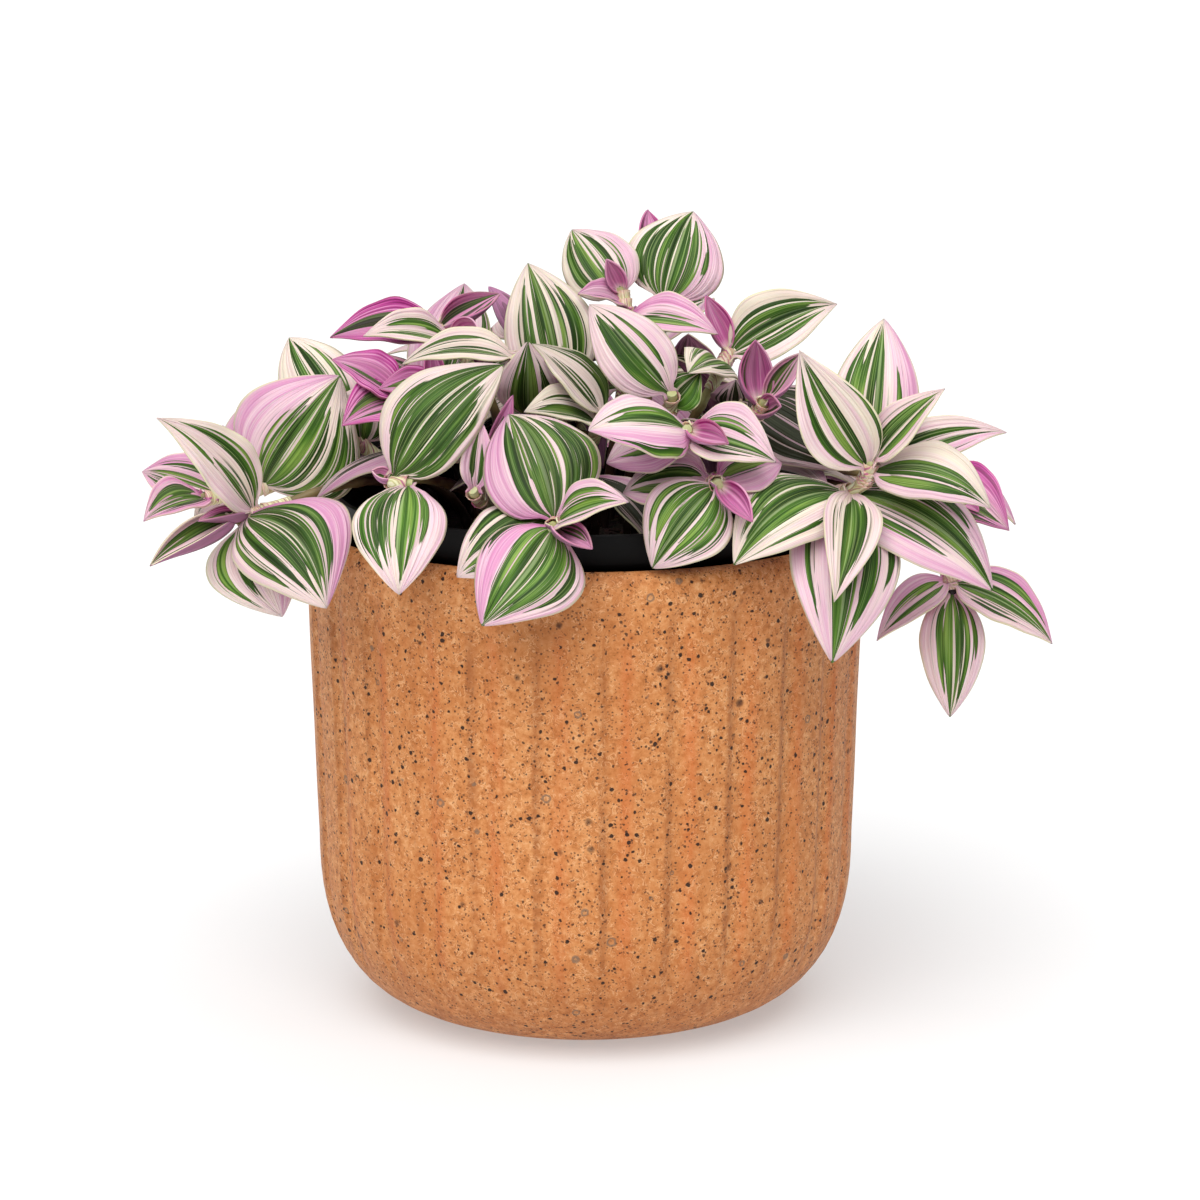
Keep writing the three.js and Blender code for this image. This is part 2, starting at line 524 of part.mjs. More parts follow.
// A closed blade, its two faces split into triangles alike and joined along the margins.
function makeBlade(leaf, extra = 0, given = null) {
  const stations = given ?? (leaf.short ? shortStations : leafStations);
  const columns = leaf.width > leaf.fineWidth ? 4 : 2;
  const positions = [];
  const top = [];
  const under = [];
  const addPoint = (point) => positions.push(point.x, point.y, point.z) / 3 - 1;
  const last = stations.length - 1;
  const grown = { ...leaf, width: leaf.width + 2 * extra, length: leaf.length + extra };
  for (let i = 1; i < last; i += 1) {
    top[i] = [];
    under[i] = [];
    for (let j = 0; j <= columns; j += 1) {
      const t = (2 * j) / columns - 1;
      const half = (blade.thickness / 2) * (1 - t * t * t * t) + (Math.abs(t) < 1 ? extra : 0);
      const point = leafPoint(grown, stations[i], t);
      const upper = addPoint(point.clone().addScaledVector(leaf.up, half));
      top[i].push(upper);
      const edge = j === 0 || j === columns;
      under[i].push(edge ? upper : addPoint(point.clone().addScaledVector(leaf.up, -half)));
    }
  }
  const tip = addPoint(leafPoint(grown, 1, 0));
  const root = addPoint(leafPoint(grown, stations[0], 0).addScaledVector(leaf.along, -blade.sunk));
  const triangles = [];
  const addPair = (a, b, c) => {
    triangles.push(top[a[0]][a[1]], top[b[0]][b[1]], top[c[0]][c[1]]);
    triangles.push(under[a[0]][a[1]], under[c[0]][c[1]], under[b[0]][b[1]]);
  };
  for (let i = 1; i + 1 < last; i += 1) {
    for (let j = 0; j < columns; j += 1) {
      if (j < columns / 2) {
        addPair([i, j], [i + 1, j], [i + 1, j + 1]);
        addPair([i, j], [i + 1, j + 1], [i, j + 1]);
      } else {
        addPair([i, j], [i + 1, j], [i, j + 1]);
        addPair([i, j + 1], [i + 1, j], [i + 1, j + 1]);
      }
    }
  }
  for (let j = 0; j < columns; j += 1) {
    triangles.push(top[last - 1][j], tip, top[last - 1][j + 1]);
    triangles.push(under[last - 1][j], under[last - 1][j + 1], tip);
    triangles.push(root, top[1][j], top[1][j + 1]);
    triangles.push(root, under[1][j + 1], under[1][j]);
  }
  return solidFromArrays(positions, triangles);
}

// Small turns tried one after another until a leaf hangs clear of every other shoot.
function* leafVariations(steps) {
  yield [0, 0, 1];
  for (const size of bends.sizes) {
    for (const step of steps) {
      for (let k = 0; k < bends.ways; k += 1) {
        const angle = (k * 2 * Math.PI) / bends.ways;
        yield [step * Math.cos(angle), step * Math.sin(angle), size];
      }
    }
  }
}

// Only the outer shell of a fused shoot: hollows that the leaves seal are filled, scraps dropped.
function outerShell(body) {
  return body.decompose().reduce((largest, shell) => (
    shell.volume() > largest.volume() ? shell : largest));
}

function apart(a, b) {
  const first = a.boundingBox();
  const second = b.boundingBox();
  for (let k = 0; k < 3; k += 1) {
    if (first.min[k] > second.max[k] || second.min[k] > first.max[k]) return true;
  }
  return a.intersect(b).isEmpty();
}

// The point of space at a pixel of the photograph and a depth y.
function pointAt([column, row], y) {
  const tilt = photo.tilt * radians;
  const right = (column - photo.middlePixel[0]) / photo.focalPixels;
  const up = (photo.middlePixel[1] - row) / photo.focalPixels;
  const ahead = (y + Math.cos(tilt) * photo.distance) / (Math.cos(tilt) + up * Math.sin(tilt));
  const eyeHeight = photo.middle + Math.sin(tilt) * photo.distance;
  const z = eyeHeight + ahead * (up * Math.cos(tilt) - Math.sin(tilt));
  return new THREE.Vector3(ahead * right, y, z);
}

function rootShareFor(reach) {
  return Math.min(rooting.share, rooting.reach / reach);
}

// A shoot of the viewer's side: its stem ends at its pixel and its leaves reach to theirs.
function makeFrontShoot({ name, endPixel, y, grow, leaves }) {
  const tip = pointAt(endPixel, y);
  const share = rootShareFor(Math.hypot(tip.x, tip.y));
  const shoot = { name, grow, tip: tip.toArray(), root: [tip.x * share, tip.y * share] };
  shoot.leaves = leaves.map((leaf) => {
    const reach = pointAt(leaf.tipPixel, leaf.y).sub(stemPoint(shoot, leaf.at));
    const length = reach.length();
    const heading = Math.atan2(reach.y, reach.x) / radians;
    const rise = Math.asin(reach.z / length) / radians;
    return { ...leaf, heading, rise, length };
  });
  return shoot;
}

// The rows of leaves round a shoot at the back, by rule, with seeded draws.
function makeBackShoots() {
  const draw = makeDraw(seed);
  const shoots = [];
  backRings.forEach((ring) => {
    for (let k = 0; k < ring.count; k += 1) {
      const heading = ring.first + ((ring.last - ring.first) * k) / (ring.count - 1)
        + draw(-backShoot.turn, backShoot.turn);
      const reach = ring.reach * draw(...backShoot.reach);
      const tip = [
        reach * Math.cos(heading * radians), reach * Math.sin(heading * radians),
        ring.height + draw(-backShoot.height, backShoot.height),
      ];
      const share = ring.rootShare ?? rootShareFor(reach);
      const leaves = [];
      for (let j = 0; j < ring.leaves; j += 1) {
        const side = j % 2 ? 1 : -1;
        const turn = heading + side * (backLeaf.first + backLeaf.step * j)
          + draw(-backLeaf.turn, backLeaf.turn);
        leaves.push({
          form: draw(0, 1) < backShoot.domes ? 'dome' : 'boat', at: 1 - backLeaf.space * j,
          heading: turn, rise: draw(...backLeaf.rise), length: draw(...backLeaf.length),
          width: draw(...backLeaf.width), face: [turn, backLeaf.face],
          bow: draw(-backLeaf.bow, backLeaf.bow),
        });
      }
      if (!ring.low) {
        leaves.push({
          form: 'boat', at: 1 - backLeaf.space * ring.leaves,
          heading: heading + draw(...backUpright.turn), rise: draw(...backUpright.rise),
          length: draw(...backUpright.length), width: draw(...backUpright.width),
          face: [heading, backUpright.face],
        });
        leaves.push({
          form: 'young', at: 1, heading: heading + draw(-backYoung.turn, backYoung.turn),
          rise: draw(...backYoung.rise), length: draw(...backYoung.length),
          width: draw(...backYoung.width), face: [heading, backYoung.face],
        });
      }
      shoots.push({
        name: `${ring.name}_${k + 1}`, root: [tip[0] * share, tip[1] * share], tip,
        grow: [heading, ring.grow], leaves, byRule: true,
      });
    }
  });
  return shoots;
}

// ---- the whole plant ------------------------------------------------------------------------
const shoots = [...frontShoots.map(makeFrontShoot), ...makeBackShoots()];
const coverSolid = makeCoverPot();
const nurserySolid = makeNurseryPot();
const soilSolid = makeSoil(shoots);

// Stems first, then the leaves one at a time, each bent clear of all that stands already.
const stems = shoots.map(makeStem);
const placed = [
  { owner: 'cover_pot', solid: coverSolid },
  { owner: 'nursery_pot', solid: nurserySolid },
  { owner: 'soil', solid: soilSolid },
  ...shoots.map((shoot, k) => ({ owner: shoot.name, solid: stems[k] })),
];

// The first bend that keeps a leaf off other shoots and its outer part off its own shoot's
// leaves, or else the first that keeps it off other shoots, where it then crosses its sisters.
function bendClear(shoot, sketch) {
  let second = null;
  for (const [turn, lift, size] of leafVariations(shoot.byRule ? bends.byRule : bends.placed)) {
    const leaf = placeLeaf(shoot, sketch, turn, lift, size);
    const swollen = makeBlade(leaf, blade.apart);
    if (placed.every(({ owner, solid }) => owner === shoot.name || apart(swollen, solid))) {
      const outer = makeBlade(leaf, blade.apart, outerStations);
      if (placed.every(({ owner, solid }) => owner !== shoot.name || apart(outer, solid))) {
        return makeBlade(leaf);
      }
      second = second ?? makeBlade(leaf);
    }
  }
  return shoot.byRule ? null : second;
}

const plants = shoots.map((shoot, k) => {
  let body = stems[k];
  shoot.leaves.forEach((sketch) => {
    const leaf = bendClear(shoot, sketch);
    if (!leaf) return;
    placed.push({ owner: shoot.name, solid: leaf });
    body = body.add(leaf);
  });
  return outerShell(body);
});

function addPiece(group, name, solid, color, roughness) {
  const material = new THREE.MeshStandardMaterial({ color, roughness, metalness: 0 });
  const mesh = new THREE.Mesh(geometryFrom(solid), material);
  mesh.name = name;
  group.add(mesh);
}

const pottedPlant = new THREE.Group();
addPiece(pottedPlant, 'cover_pot', coverSolid, '#c98450', 0.75);
addPiece(pottedPlant, 'nursery_pot', nurserySolid, '#1b1b1d', 0.45);
addPiece(pottedPlant, 'soil', soilSolid, '#2a211c', 0.95);
plants.forEach((solid, k) => {
  const pink = shoots[k].name.startsWith('purple') || shoots[k].name.startsWith('curl');
  addPiece(pottedPlant, `shoot_${shoots[k].name}`, solid, pink ? '#c27ab4' : '#9fb48c', 0.5);
});

export default pottedPlant;
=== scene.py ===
import bpy
import math
import random
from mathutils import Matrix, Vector, noise
from mathutils.kdtree import KDTree


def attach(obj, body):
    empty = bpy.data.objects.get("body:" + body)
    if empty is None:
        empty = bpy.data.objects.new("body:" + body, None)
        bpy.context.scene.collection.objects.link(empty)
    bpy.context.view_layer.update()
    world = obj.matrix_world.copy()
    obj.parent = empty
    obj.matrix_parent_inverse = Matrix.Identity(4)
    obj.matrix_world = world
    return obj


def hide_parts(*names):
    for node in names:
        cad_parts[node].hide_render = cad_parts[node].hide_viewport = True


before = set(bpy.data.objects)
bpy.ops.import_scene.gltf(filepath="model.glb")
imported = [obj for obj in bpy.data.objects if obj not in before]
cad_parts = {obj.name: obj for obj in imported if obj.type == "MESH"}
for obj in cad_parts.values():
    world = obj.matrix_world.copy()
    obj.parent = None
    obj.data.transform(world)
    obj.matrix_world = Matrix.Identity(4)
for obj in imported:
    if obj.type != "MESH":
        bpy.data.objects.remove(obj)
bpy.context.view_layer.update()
mm = 0.001
print("frame loaded:", len(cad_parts), "nodes")

# camera, floor and light

photo = {  # how the picture was taken, fitted to the cover pot's rim and foot
    "tilt": 13.1,  # degrees down
    "distance": 1000,  # from its eye to the middle of the pot, in millimetres
    "middle": 80,  # height of that middle
    "focalPixels": 3958.9,
    "middlePixel": (585.5, 687),
    "framePixels": 1200,
    "sensorWidth": 36,  # millimetres
    "nearest": 0.05,  # what it can see begins here, in metres, and ends at the next
    "farthest": 60,
}
studio = {
    "floorColour": "#c6c6c6",
    "floorGlow": 0.37,  # a photographer's table, lit from below, so that shadows stay faint
    "floorSize": 40,  # metres
    "floorDrop": 0.0002,  # how far it lies below the foot, so that the two don't flicker
    "skyStrength": 0.1,
    # from where, how strong and how broad, in degrees: as broad as windows, so shadows are soft
    "lights": {
        "key_light": ((-0.22, -0.9, 1.1), 3.0, 64),
        "top_light": ((0.05, 0.1, 1.0), 1.45, 80),
        "back_light": ((0.5, 0.9, 1.2), 0.25, 60),
    },
}


def pointAt(pixel, y):  # the point, in millimetres, at a pixel of the picture and a depth
    tilt = math.radians(photo["tilt"])
    right = (pixel[0] - photo["middlePixel"][0]) / photo["focalPixels"]
    up = (photo["middlePixel"][1] - pixel[1]) / photo["focalPixels"]
    ahead = (y + math.cos(tilt) * photo["distance"]) / (math.cos(tilt) + up * math.sin(tilt))
    eyeHeight = photo["middle"] + math.sin(tilt) * photo["distance"]
    z = eyeHeight + ahead * (up * math.cos(tilt) - math.sin(tilt))
    return Vector((ahead * right, y, z))


def hexColour(text):
    channels = [int(text[k:k + 2], 16) / 255 for k in (1, 3, 5)]
    linear = [c / 12.92 if c <= 0.04045 else ((c + 0.055) / 1.055) ** 2.4 for c in channels]
    return (*linear, 1.0)


def deselectAll():
    if bpy.context.mode != "OBJECT":
        bpy.ops.object.mode_set(mode="OBJECT")
    bpy.ops.object.select_all(action="DESELECT")


def pick(piece):
    deselectAll()
    piece.select_set(True)
    bpy.context.view_layer.objects.active = piece


def addNode(tree, kind, inputs=None, out=0, stops=None, **settings):
    # an input is a number, a hex colour or another node's output; stops are a ramp's colours
    node = tree.nodes.new("ShaderNode" + kind)
    for key, value in settings.items():
        setattr(node, key, value)
    for key, value in (inputs or {}).items():
        if isinstance(value, bpy.types.NodeSocket):
            tree.links.new(value, node.inputs[key])
        else:
            node.inputs[key].default_value = hexColour(value) if isinstance(value, str) else value
    for k, (place, colour) in enumerate(stops or []):
        elements = node.color_ramp.elements
        element = elements[k] if k < 2 else elements.new(place)
        element.position = place
        element.color = hexColour(colour)
    return node.outputs[out]


asColour = {"out": 2, "data_type": "RGBA"}  # what makes a Mix node mix colours


def newMaterial(name, settings):
    material = bpy.data.materials.new(name)
    material.use_nodes = True
    tree = material.node_tree
    shader = tree.nodes["Principled BSDF"]
    for key, value in settings.items():
        shader.inputs[key].default_value = hexColour(value) if isinstance(value, str) else value
    return material, tree, shader


def markPoints(piece, name, values):  # a number at each point, for a material to read
    piece.data.attributes.new(name, "FLOAT", "POINT").data.foreach_set("value", values)


def smooth(share):
    share = max(0, min(1, share))
    return share * share * (3 - 2 * share)


def makeStudio():
    tilt, half = math.radians(photo["tilt"]), photo["framePixels"] / 2
    eye = Vector((0, -math.cos(tilt), math.sin(tilt))) * photo["distance"] * mm
    eye.z += photo["middle"] * mm
    bpy.ops.object.camera_add(location=eye)
    camera = bpy.context.object
    look = pointAt((half, half), 0) * mm - eye
    camera.rotation_euler = look.to_track_quat("-Z", "Y").to_euler()
    camera.data.sensor_width = photo["sensorWidth"]
    camera.data.lens = photo["sensorWidth"] * photo["focalPixels"] / photo["framePixels"]
    camera.data.clip_start = photo["nearest"]
    camera.data.clip_end = photo["farthest"]
    bpy.context.scene.camera = camera
    deselectAll()
    bpy.ops.mesh.primitive_plane_add(size=studio["floorSize"], location=(0, 0, -studio["floorDrop"]))
    floor = bpy.context.object
    floor.name = "pale_floor"
    # frosted acrylic, cast and sanded: an even white that mirrors nothing
    floor.data.materials.append(newMaterial("frosted white acrylic", {
        "Base Color": studio["floorColour"], "Roughness": 0.9, "Specular IOR Level": 0.1,
        "Emission Color": "#ffffff", "Emission Strength": studio["floorGlow"]})[0])
    world = bpy.data.worlds.new("studio white")
    world.use_nodes = True
    world.node_tree.nodes["Background"].inputs[0].default_value = (1, 1, 1, 1)
    world.node_tree.nodes["Background"].inputs[1].default_value = studio["skyStrength"]
    bpy.context.scene.world = world
    bpy.context.scene.view_settings.view_transform = "Standard"  # colours as the hex values say
    for name, (source, strength, breadth) in studio["lights"].items():
        bpy.ops.object.light_add(type="SUN", location=(0, 0, 1))
        light = bpy.context.object
        light.name = name
        light.data.energy = strength
        light.data.angle = math.radians(breadth)
        light.rotation_euler = Vector(source).to_track_quat("Z", "Y").to_euler()


makeStudio()
print("studio ready")

# cover pot: speckled stoneware, fluted

coverPot = {
    "height": 123, "footRadius": 31.5, "wallFoot": 67.6, "wallTop": 70, "cornerHeight": 44.5,
    "cornerPower": 2.5, "wall": 5.3, "floor": 7, "lipHeight": 4, "lipFoot": 118, "steps": 648,
    "flutes": 27, "firstFlute": -87.4, "fluteWidth": 6.7, "fluteDepth": 0.9,
    "leftWall": 0.34, "rightWall": 0.5,  # how far its walls reach in, as shares of a flute's width
    "fadeLow": 9, "fullLow": 30, "archTop": 114.5, "archHeight": 4.2, "archEdge": 1.6,
    "handWobble": 0.12, "wobbleScale": 0.045, "wobbleFrom": 12,
    "plainRadius": 5, "plainHeight": 0.1,  # nearer the axis and the floor than this it stays plain
}
# where light and shade are painted into the stoneware's colour
flutePaintedLight = {
    "painted_light": (0.84, 0.42),  # painted light: the warm glow of each groove's lit right wall; middle and reach, as shares of the width
    "painted_shade": (0.1, 0.28),  # painted shade on the left walls, turned away from the light
    "low": 8, "lowFade": 24, "high": 114, "highFade": 14, "top": 113,
    "footShadeTop": 38, "footShadeFade": 36,  # painted shade again, all round the foot
}
weldDistance = 0.000004  # points nearer than this, in metres, are one


def coverRadiusAt(z):
    pot = coverPot
    if z < pot["cornerHeight"]:
        drop = (pot["cornerHeight"] - z) / pot["cornerHeight"]
        bulge = (1 - drop ** pot["cornerPower"]) ** (1 / pot["cornerPower"])
        return pot["footRadius"] + (pot["wallFoot"] - pot["footRadius"]) * bulge
    share = (z - pot["cornerHeight"]) / (pot["height"] - pot["lipHeight"] - pot["cornerHeight"])
    return pot["wallFoot"] + (pot["wallTop"] - pot["wallFoot"]) * share


def fluteShare(degrees):  # place across its flute, 0 to 1, or past 1 on the rib between two
    pitch = 360 / coverPot["flutes"]
    return ((degrees - coverPot["firstFlute"]) % pitch) / coverPot["fluteWidth"]


def fluteDepthAt(degrees, z):
    share = fluteShare(degrees)
    if share >= 1:
        return 0
    groove = smooth(share / coverPot["leftWall"]) * smooth((1 - share) / coverPot["rightWall"])
    across = abs(2 * share - 1)
    top = coverPot["archTop"] - coverPot["archHeight"] * (1 - math.sqrt(1 - across ** 2))
    low = smooth((z - coverPot["fadeLow"]) / (coverPot["fullLow"] - coverPot["fadeLow"]))
    return coverPot["fluteDepth"] * groove * smooth((top - z) / coverPot["archEdge"]) * low


def flutePaintedLightAt(name, share):
    middle, reach = flutePaintedLight[name]
    return smooth(1 - abs(share - middle) / reach)


def roundedStep(points, count):  # a smooth run of points through the given ones
    run = []
    for k in range(len(points) - 1):
        a = Vector(points[max(k - 1, 0)]).to_2d()
        b, c = Vector(points[k]).to_2d(), Vector(points[k + 1]).to_2d()
        d = Vector(points[min(k + 2, len(points) - 1)]).to_2d()
        for j in range(count):
            u = j / count
            run.append(0.5 * (2 * b + (c - a) * u + (2 * a - 5 * b + 4 * c - d) * u * u
                              + (3 * b - a - 3 * c + d) * u ** 3))
    run.append(Vector(points[-1]).to_2d())
    return [(p.x, p.y) for p in run]


def spinProfile(name, profile, steps):
    deselectAll()
    bpy.ops.mesh.primitive_circle_add(vertices=len(profile), radius=0.01)
    piece = bpy.context.object
    piece.name = name
    piece.data.name = name
    for vertex, (radius, z) in zip(piece.data.vertices, profile):
        vertex.co = (radius * mm, 0, z * mm)
    last = len(profile) - 1
    bpy.ops.object.mode_set(mode="EDIT")
    bpy.ops.mesh.select_all(action="DESELECT")
    bpy.ops.object.mode_set(mode="OBJECT")
    for edge in piece.data.edges:
        edge.select = set(edge.vertices) == {0, last}
    bpy.ops.object.mode_set(mode="EDIT")
    bpy.ops.mesh.select_mode(type="EDGE")
    bpy.ops.mesh.delete(type="EDGE_FACE")
    bpy.ops.mesh.select_mode(type="VERT")
    bpy.ops.mesh.select_all(action="SELECT")
    bpy.ops.mesh.spin(steps=steps, angle=2 * math.pi, center=(0, 0, 0), axis=(0, 0, 1))
    bpy.ops.mesh.select_all(action="SELECT")
    bpy.ops.mesh.remove_doubles(threshold=weldDistance)
    bpy.ops.mesh.normals_make_consistent(inside=False)
    bpy.ops.object.mode_set(mode="OBJECT")
    bpy.ops.object.shade_smooth()
    return piece


def coverProfile():
    pot = coverPot
    outer = [(0, 0), (12, 0), (24, 0), (pot["footRadius"] - 1.2, 0)]
    # closest together where the foot turns up and where the flutes end
    heights = [0.35, 0.9, 1.8, 3, 4.5, 6.5, 9, 12, 15.5, 19, 23, 27, 31, 35.5, 40]
    heights += list(range(45, 109, 4)) + [108.5 + 0.6 * k for k in range(11)] + [116.5]
    outer += [(coverRadiusAt(z), z) for z in heights]
    lip = roundedStep([(69.95, 118.2), (69.75, 120.2), (68.9, 121.9), (67.3, 122.9), (65.6, 122.8),
                       (64.5, 121.6), (64.35, 119.5)], 4)
    inner = [(coverRadiusAt(z) - pot["wall"], z) for z in range(114, 22, -7)]
    inner += [(58.6, 18), (54, 12.2), (49.5, 8.8)] + [(radius, pot["floor"]) for radius in (44, 30, 0)]
    return outer + lip + inner


def makeStoneware():
    # hand-finished stoneware: a sandy tan body, with iron melted into black pits, brown spots and
    # greyish blisters, which give it a baked look; painted light makes one wall of each groove orange,
    # and painted shade browns the other wall and the foot
    material, tree, shader = newMaterial("speckled stoneware", {
        "Roughness": 0.6, "IOR": 1.5, "Specular IOR Level": 0.3})
    place = addNode(tree, "TexCoord", out="Object")
    shiver = addNode(tree, "TexNoise", {"Vector": place, "Scale": 1300, "Detail": 1}, out="Color")
    shiver = addNode(tree, "VectorMath", {0: shiver, 1: (0.5, 0.5, 0.5)}, operation="SUBTRACT")
    shiver = addNode(tree, "VectorMath", {0: shiver, "Scale": 0.0006}, operation="SCALE")
    rough = addNode(tree, "VectorMath", {0: place, 1: shiver}, operation="ADD")

    # mottled in grains of 2 mm and finer, under clouds of 26 mm
    mottle = addNode(tree, "TexNoise", {"Vector": place, "Scale": 520, "Detail": 4, "Roughness": 0.75})
    body = addNode(tree, "ValToRGB", {"Fac": mottle}, stops=[
        (0.3, "#a9652f"), (0.45, "#c67e45"), (0.58, "#d5935a"), (0.75, "#e3ad79")])
    cloud = addNode(tree, "TexNoise", {"Vector": place, "Scale": 38, "Detail": 3})
    dusky = addNode(tree, "MapRange", {0: cloud, 1: 0.45, 2: 0.7, 4: 0.5})
    body = addNode(tree, "Mix", {0: dusky, 6: body, 7: "#bb7138"}, **asColour)

    # the fine sand shows as short curved strokes, 0.2 mm wide, drawn a little coarser than life
    sand = addNode(tree, "TexNoise", {"Vector": place, "Scale": 520, "Detail": 1, "Distortion": 1.2})
    cover = addNode(tree, "TexNoise", {"Vector": place, "Scale": 330, "Detail": 1})
    for middle, strength, colour in ((0.52, 0.42, "#f0c08e"), (0.44, 0.45, "#8f5328")):
        line = addNode(tree, "Math", {0: sand, 1: middle, 2: 0.022}, operation="COMPARE")
        patch = addNode(tree, "MapRange", {0: cover, 1: 0.47, 2: 0.53, 4: strength})
        amount = addNode(tree, "Math", {0: line, 1: patch}, operation="MULTIPLY")
        body = addNode(tree, "Mix", {0: amount, 6: body, 7: colour}, **asColour)

    # painted light and painted shade on the groove walls are broken into streaks, 3 mm across and 15 mm
    # down
    streak = addNode(tree, "Mapping", {"Vector": place, "Scale": (1, 1, 0.22)})
    streak = addNode(tree, "TexNoise", {"Vector": streak, "Scale": 300, "Detail": 3, "Roughness": 0.65})
    streak = addNode(tree, "MapRange", {0: streak, 1: 0.32, 2: 0.62})
    # painted light glows orange on the right walls; painted shade darkens the left walls and the foot
    for name, strength, colour in (("painted_light", 0.52, "#c6642b"), ("painted_shade", 0.5, "#8a4a22")):
        side = addNode(tree, "Attribute", out="Fac", attribute_name=name)
        amount = addNode(tree, "Math", {0: side, 1: streak}, operation="MULTIPLY")
        amount = addNode(tree, "Math", {0: amount, 1: strength}, operation="MULTIPLY")
        body = addNode(tree, "Mix", {0: amount, 6: body, 7: colour}, **asColour)

    # black pits up to 1 mm across and some 5 mm apart, and brown ones of half that, closer together
    for scale, small, large, strength, colour in (
            (1050, 0.1, 0.31, 0.75, "#5f3620"), (700, 0.06, 0.25, 0.85, "#3d2315"),
            (480, -0.1, 0.26, 0.95, "#22130c")):
        pit = addNode(tree, "TexVoronoi", {"Vector": rough, "Scale": scale})
        chance = pit.node.outputs["Color"]
        size = addNode(tree, "MapRange", {0: chance, 1: 0.25, 2: 0.85, 3: small, 4: large})
        edge = addNode(tree, "Math", {0: pit, 1: size}, operation="SUBTRACT")
        amount = addNode(tree, "MapRange", {0: edge, 1: -0.03, 2: 0.03, 3: strength, 4: 0})
        body = addNode(tree, "Mix", {0: amount, 6: body, 7: colour}, **asColour)
    sunken = addNode(tree, "Math", {0: 1.0, 1: amount}, operation="SUBTRACT")  # the black ones only

    # brown spots and grey-rimmed blisters, 1.5 to 3 mm across and some 16 mm apart
    spot = addNode(tree, "TexVoronoi", {"Vector": rough, "Scale": 122})
    chance = addNode(tree, "SeparateColor", {0: spot.node.outputs["Color"]})
    size = addNode(tree, "MapRange", {0: chance.node.outputs["Green"], 3: 0.07, 4: 0.17})
    share = addNode(tree, "Math", {0: spot, 1: size}, operation="DIVIDE")
    blister = addNode(tree, "Math", {0: chance, 1: 0.5}, operation="GREATER_THAN")
    brown = addNode(tree, "ValToRGB", {"Fac": share}, stops=[
        (0.0, "#ffffff"), (0.6, "#cccccc"), (0.95, "#333333"), (1.0, "#000000")])
    ring = addNode(tree, "ValToRGB", {"Fac": share}, stops=[
        (0.0, "#3a3a3a"), (0.5, "#6a6a6a"), (0.68, "#f0f0f0"), (0.88, "#d0d0d0"), (1.0, "#000000")])
    mark = addNode(tree, "Mix", {0: blister, 6: brown, 7: ring}, **asColour)
    tint = addNode(tree, "Mix", {0: blister, 6: "#40261a", 7: "#7b6450"}, **asColour)
    body = addNode(tree, "Mix", {0: mark, 6: body, 7: tint}, **asColour)
    tree.links.new(body, shader.inputs["Base Color"])

    # the sand's grain, then the pits, then the raised spots and rims
    grain = addNode(tree, "Bump", {"Height": mottle, "Strength": 0.35, "Distance": 0.0004})
    bump = addNode(tree, "Bump", {
        "Height": sunken, "Strength": 0.8, "Distance": 0.0004, "Normal": grain})
    bump = addNode(tree, "Bump", {"Height": mark, "Strength": 0.5, "Distance": 0.0003, "Normal": bump})
    tree.links.new(bump, shader.inputs["Normal"])
    return material


def makeCoverPot():
    pot, fluteLight = coverPot, flutePaintedLight
    piece = spinProfile("stoneware_cover_pot", coverProfile(), pot["steps"])
    marks = {"painted_light": [], "painted_shade": []}
    for vertex in piece.data.vertices:
        x, y, z = vertex.co / mm
        radius = math.hypot(x, y)
        painted_light, painted_shade = 0.0, 0.0
        if radius > pot["plainRadius"] and z > pot["plainHeight"]:
            degrees = math.degrees(math.atan2(y, x))
            outside = radius > coverRadiusAt(z) - pot["wall"] / 2
            depth = fluteDepthAt(degrees, z) if outside and z < pot["lipFoot"] else 0
            wobble = 0
            if z > pot["wobbleFrom"]:
                wobble = noise.noise(Vector((x, y, z)) * pot["wobbleScale"]) * pot["handWobble"]
            scale = (radius - depth + wobble) / radius
            vertex.co = (x * scale * mm, y * scale * mm, z * mm)
            share = fluteShare(degrees)
            # painted light on the right wall of each groove; painted shade on its left wall and round
            # the foot
            if outside and z < fluteLight["top"]:
                fade = (smooth((z - fluteLight["low"]) / fluteLight["lowFade"])
                        * smooth((fluteLight["high"] - z) / fluteLight["highFade"]))
                painted_light = flutePaintedLightAt("painted_light", share) * fade
                foot = smooth((fluteLight["footShadeTop"] - z) / fluteLight["footShadeFade"])
                painted_shade = max(flutePaintedLightAt("painted_shade", share) * fade, foot)
        marks["painted_light"].append(painted_light)
        marks["painted_shade"].append(painted_shade)
    for name, values in marks.items():
        markPoints(piece, name, values)
    piece.data.materials.append(makeStoneware())
    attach(piece, "root")
    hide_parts("cover_pot")


makeCoverPot()
print("cover pot ready")

# nursery pot: thin black plastic

nurseryPot = {
    "rimHeight": 131, "rimRadius": 62.4, "rimBand": 9, "bodyTop": 59.4, "bodyFoot": 41,
    "wall": 1.3, "floor": 7.3, "steps": 192,
    "holes": 6, "holeRing": 29, "holeRadius": 4.5, "cutterLength": 12, "cutterMiddle": 8,
    "partingAngle": 103, "partingWidth": 1.0, "partingHeight": 0.25, "partingFoot": 10,
    # how far in from the rim's radius and down from its top, outside and then inside
    "rimOutside": [(3, 9.4), (2.8, 9), (2, 8.8), (0.9, 8.6), (0.45, 8), (0.4, 7), (0.2, 3.5), (0, 1),
                   (0.05, 0.4), (0.4, 0.05), (0.8, 0)],
    "rimInside": [(1.2, 0.2), (1.35, 0.7), (1.7, 6.2), (2.1, 7.4), (3.4, 8.1), (4.1, 8.8)],
}


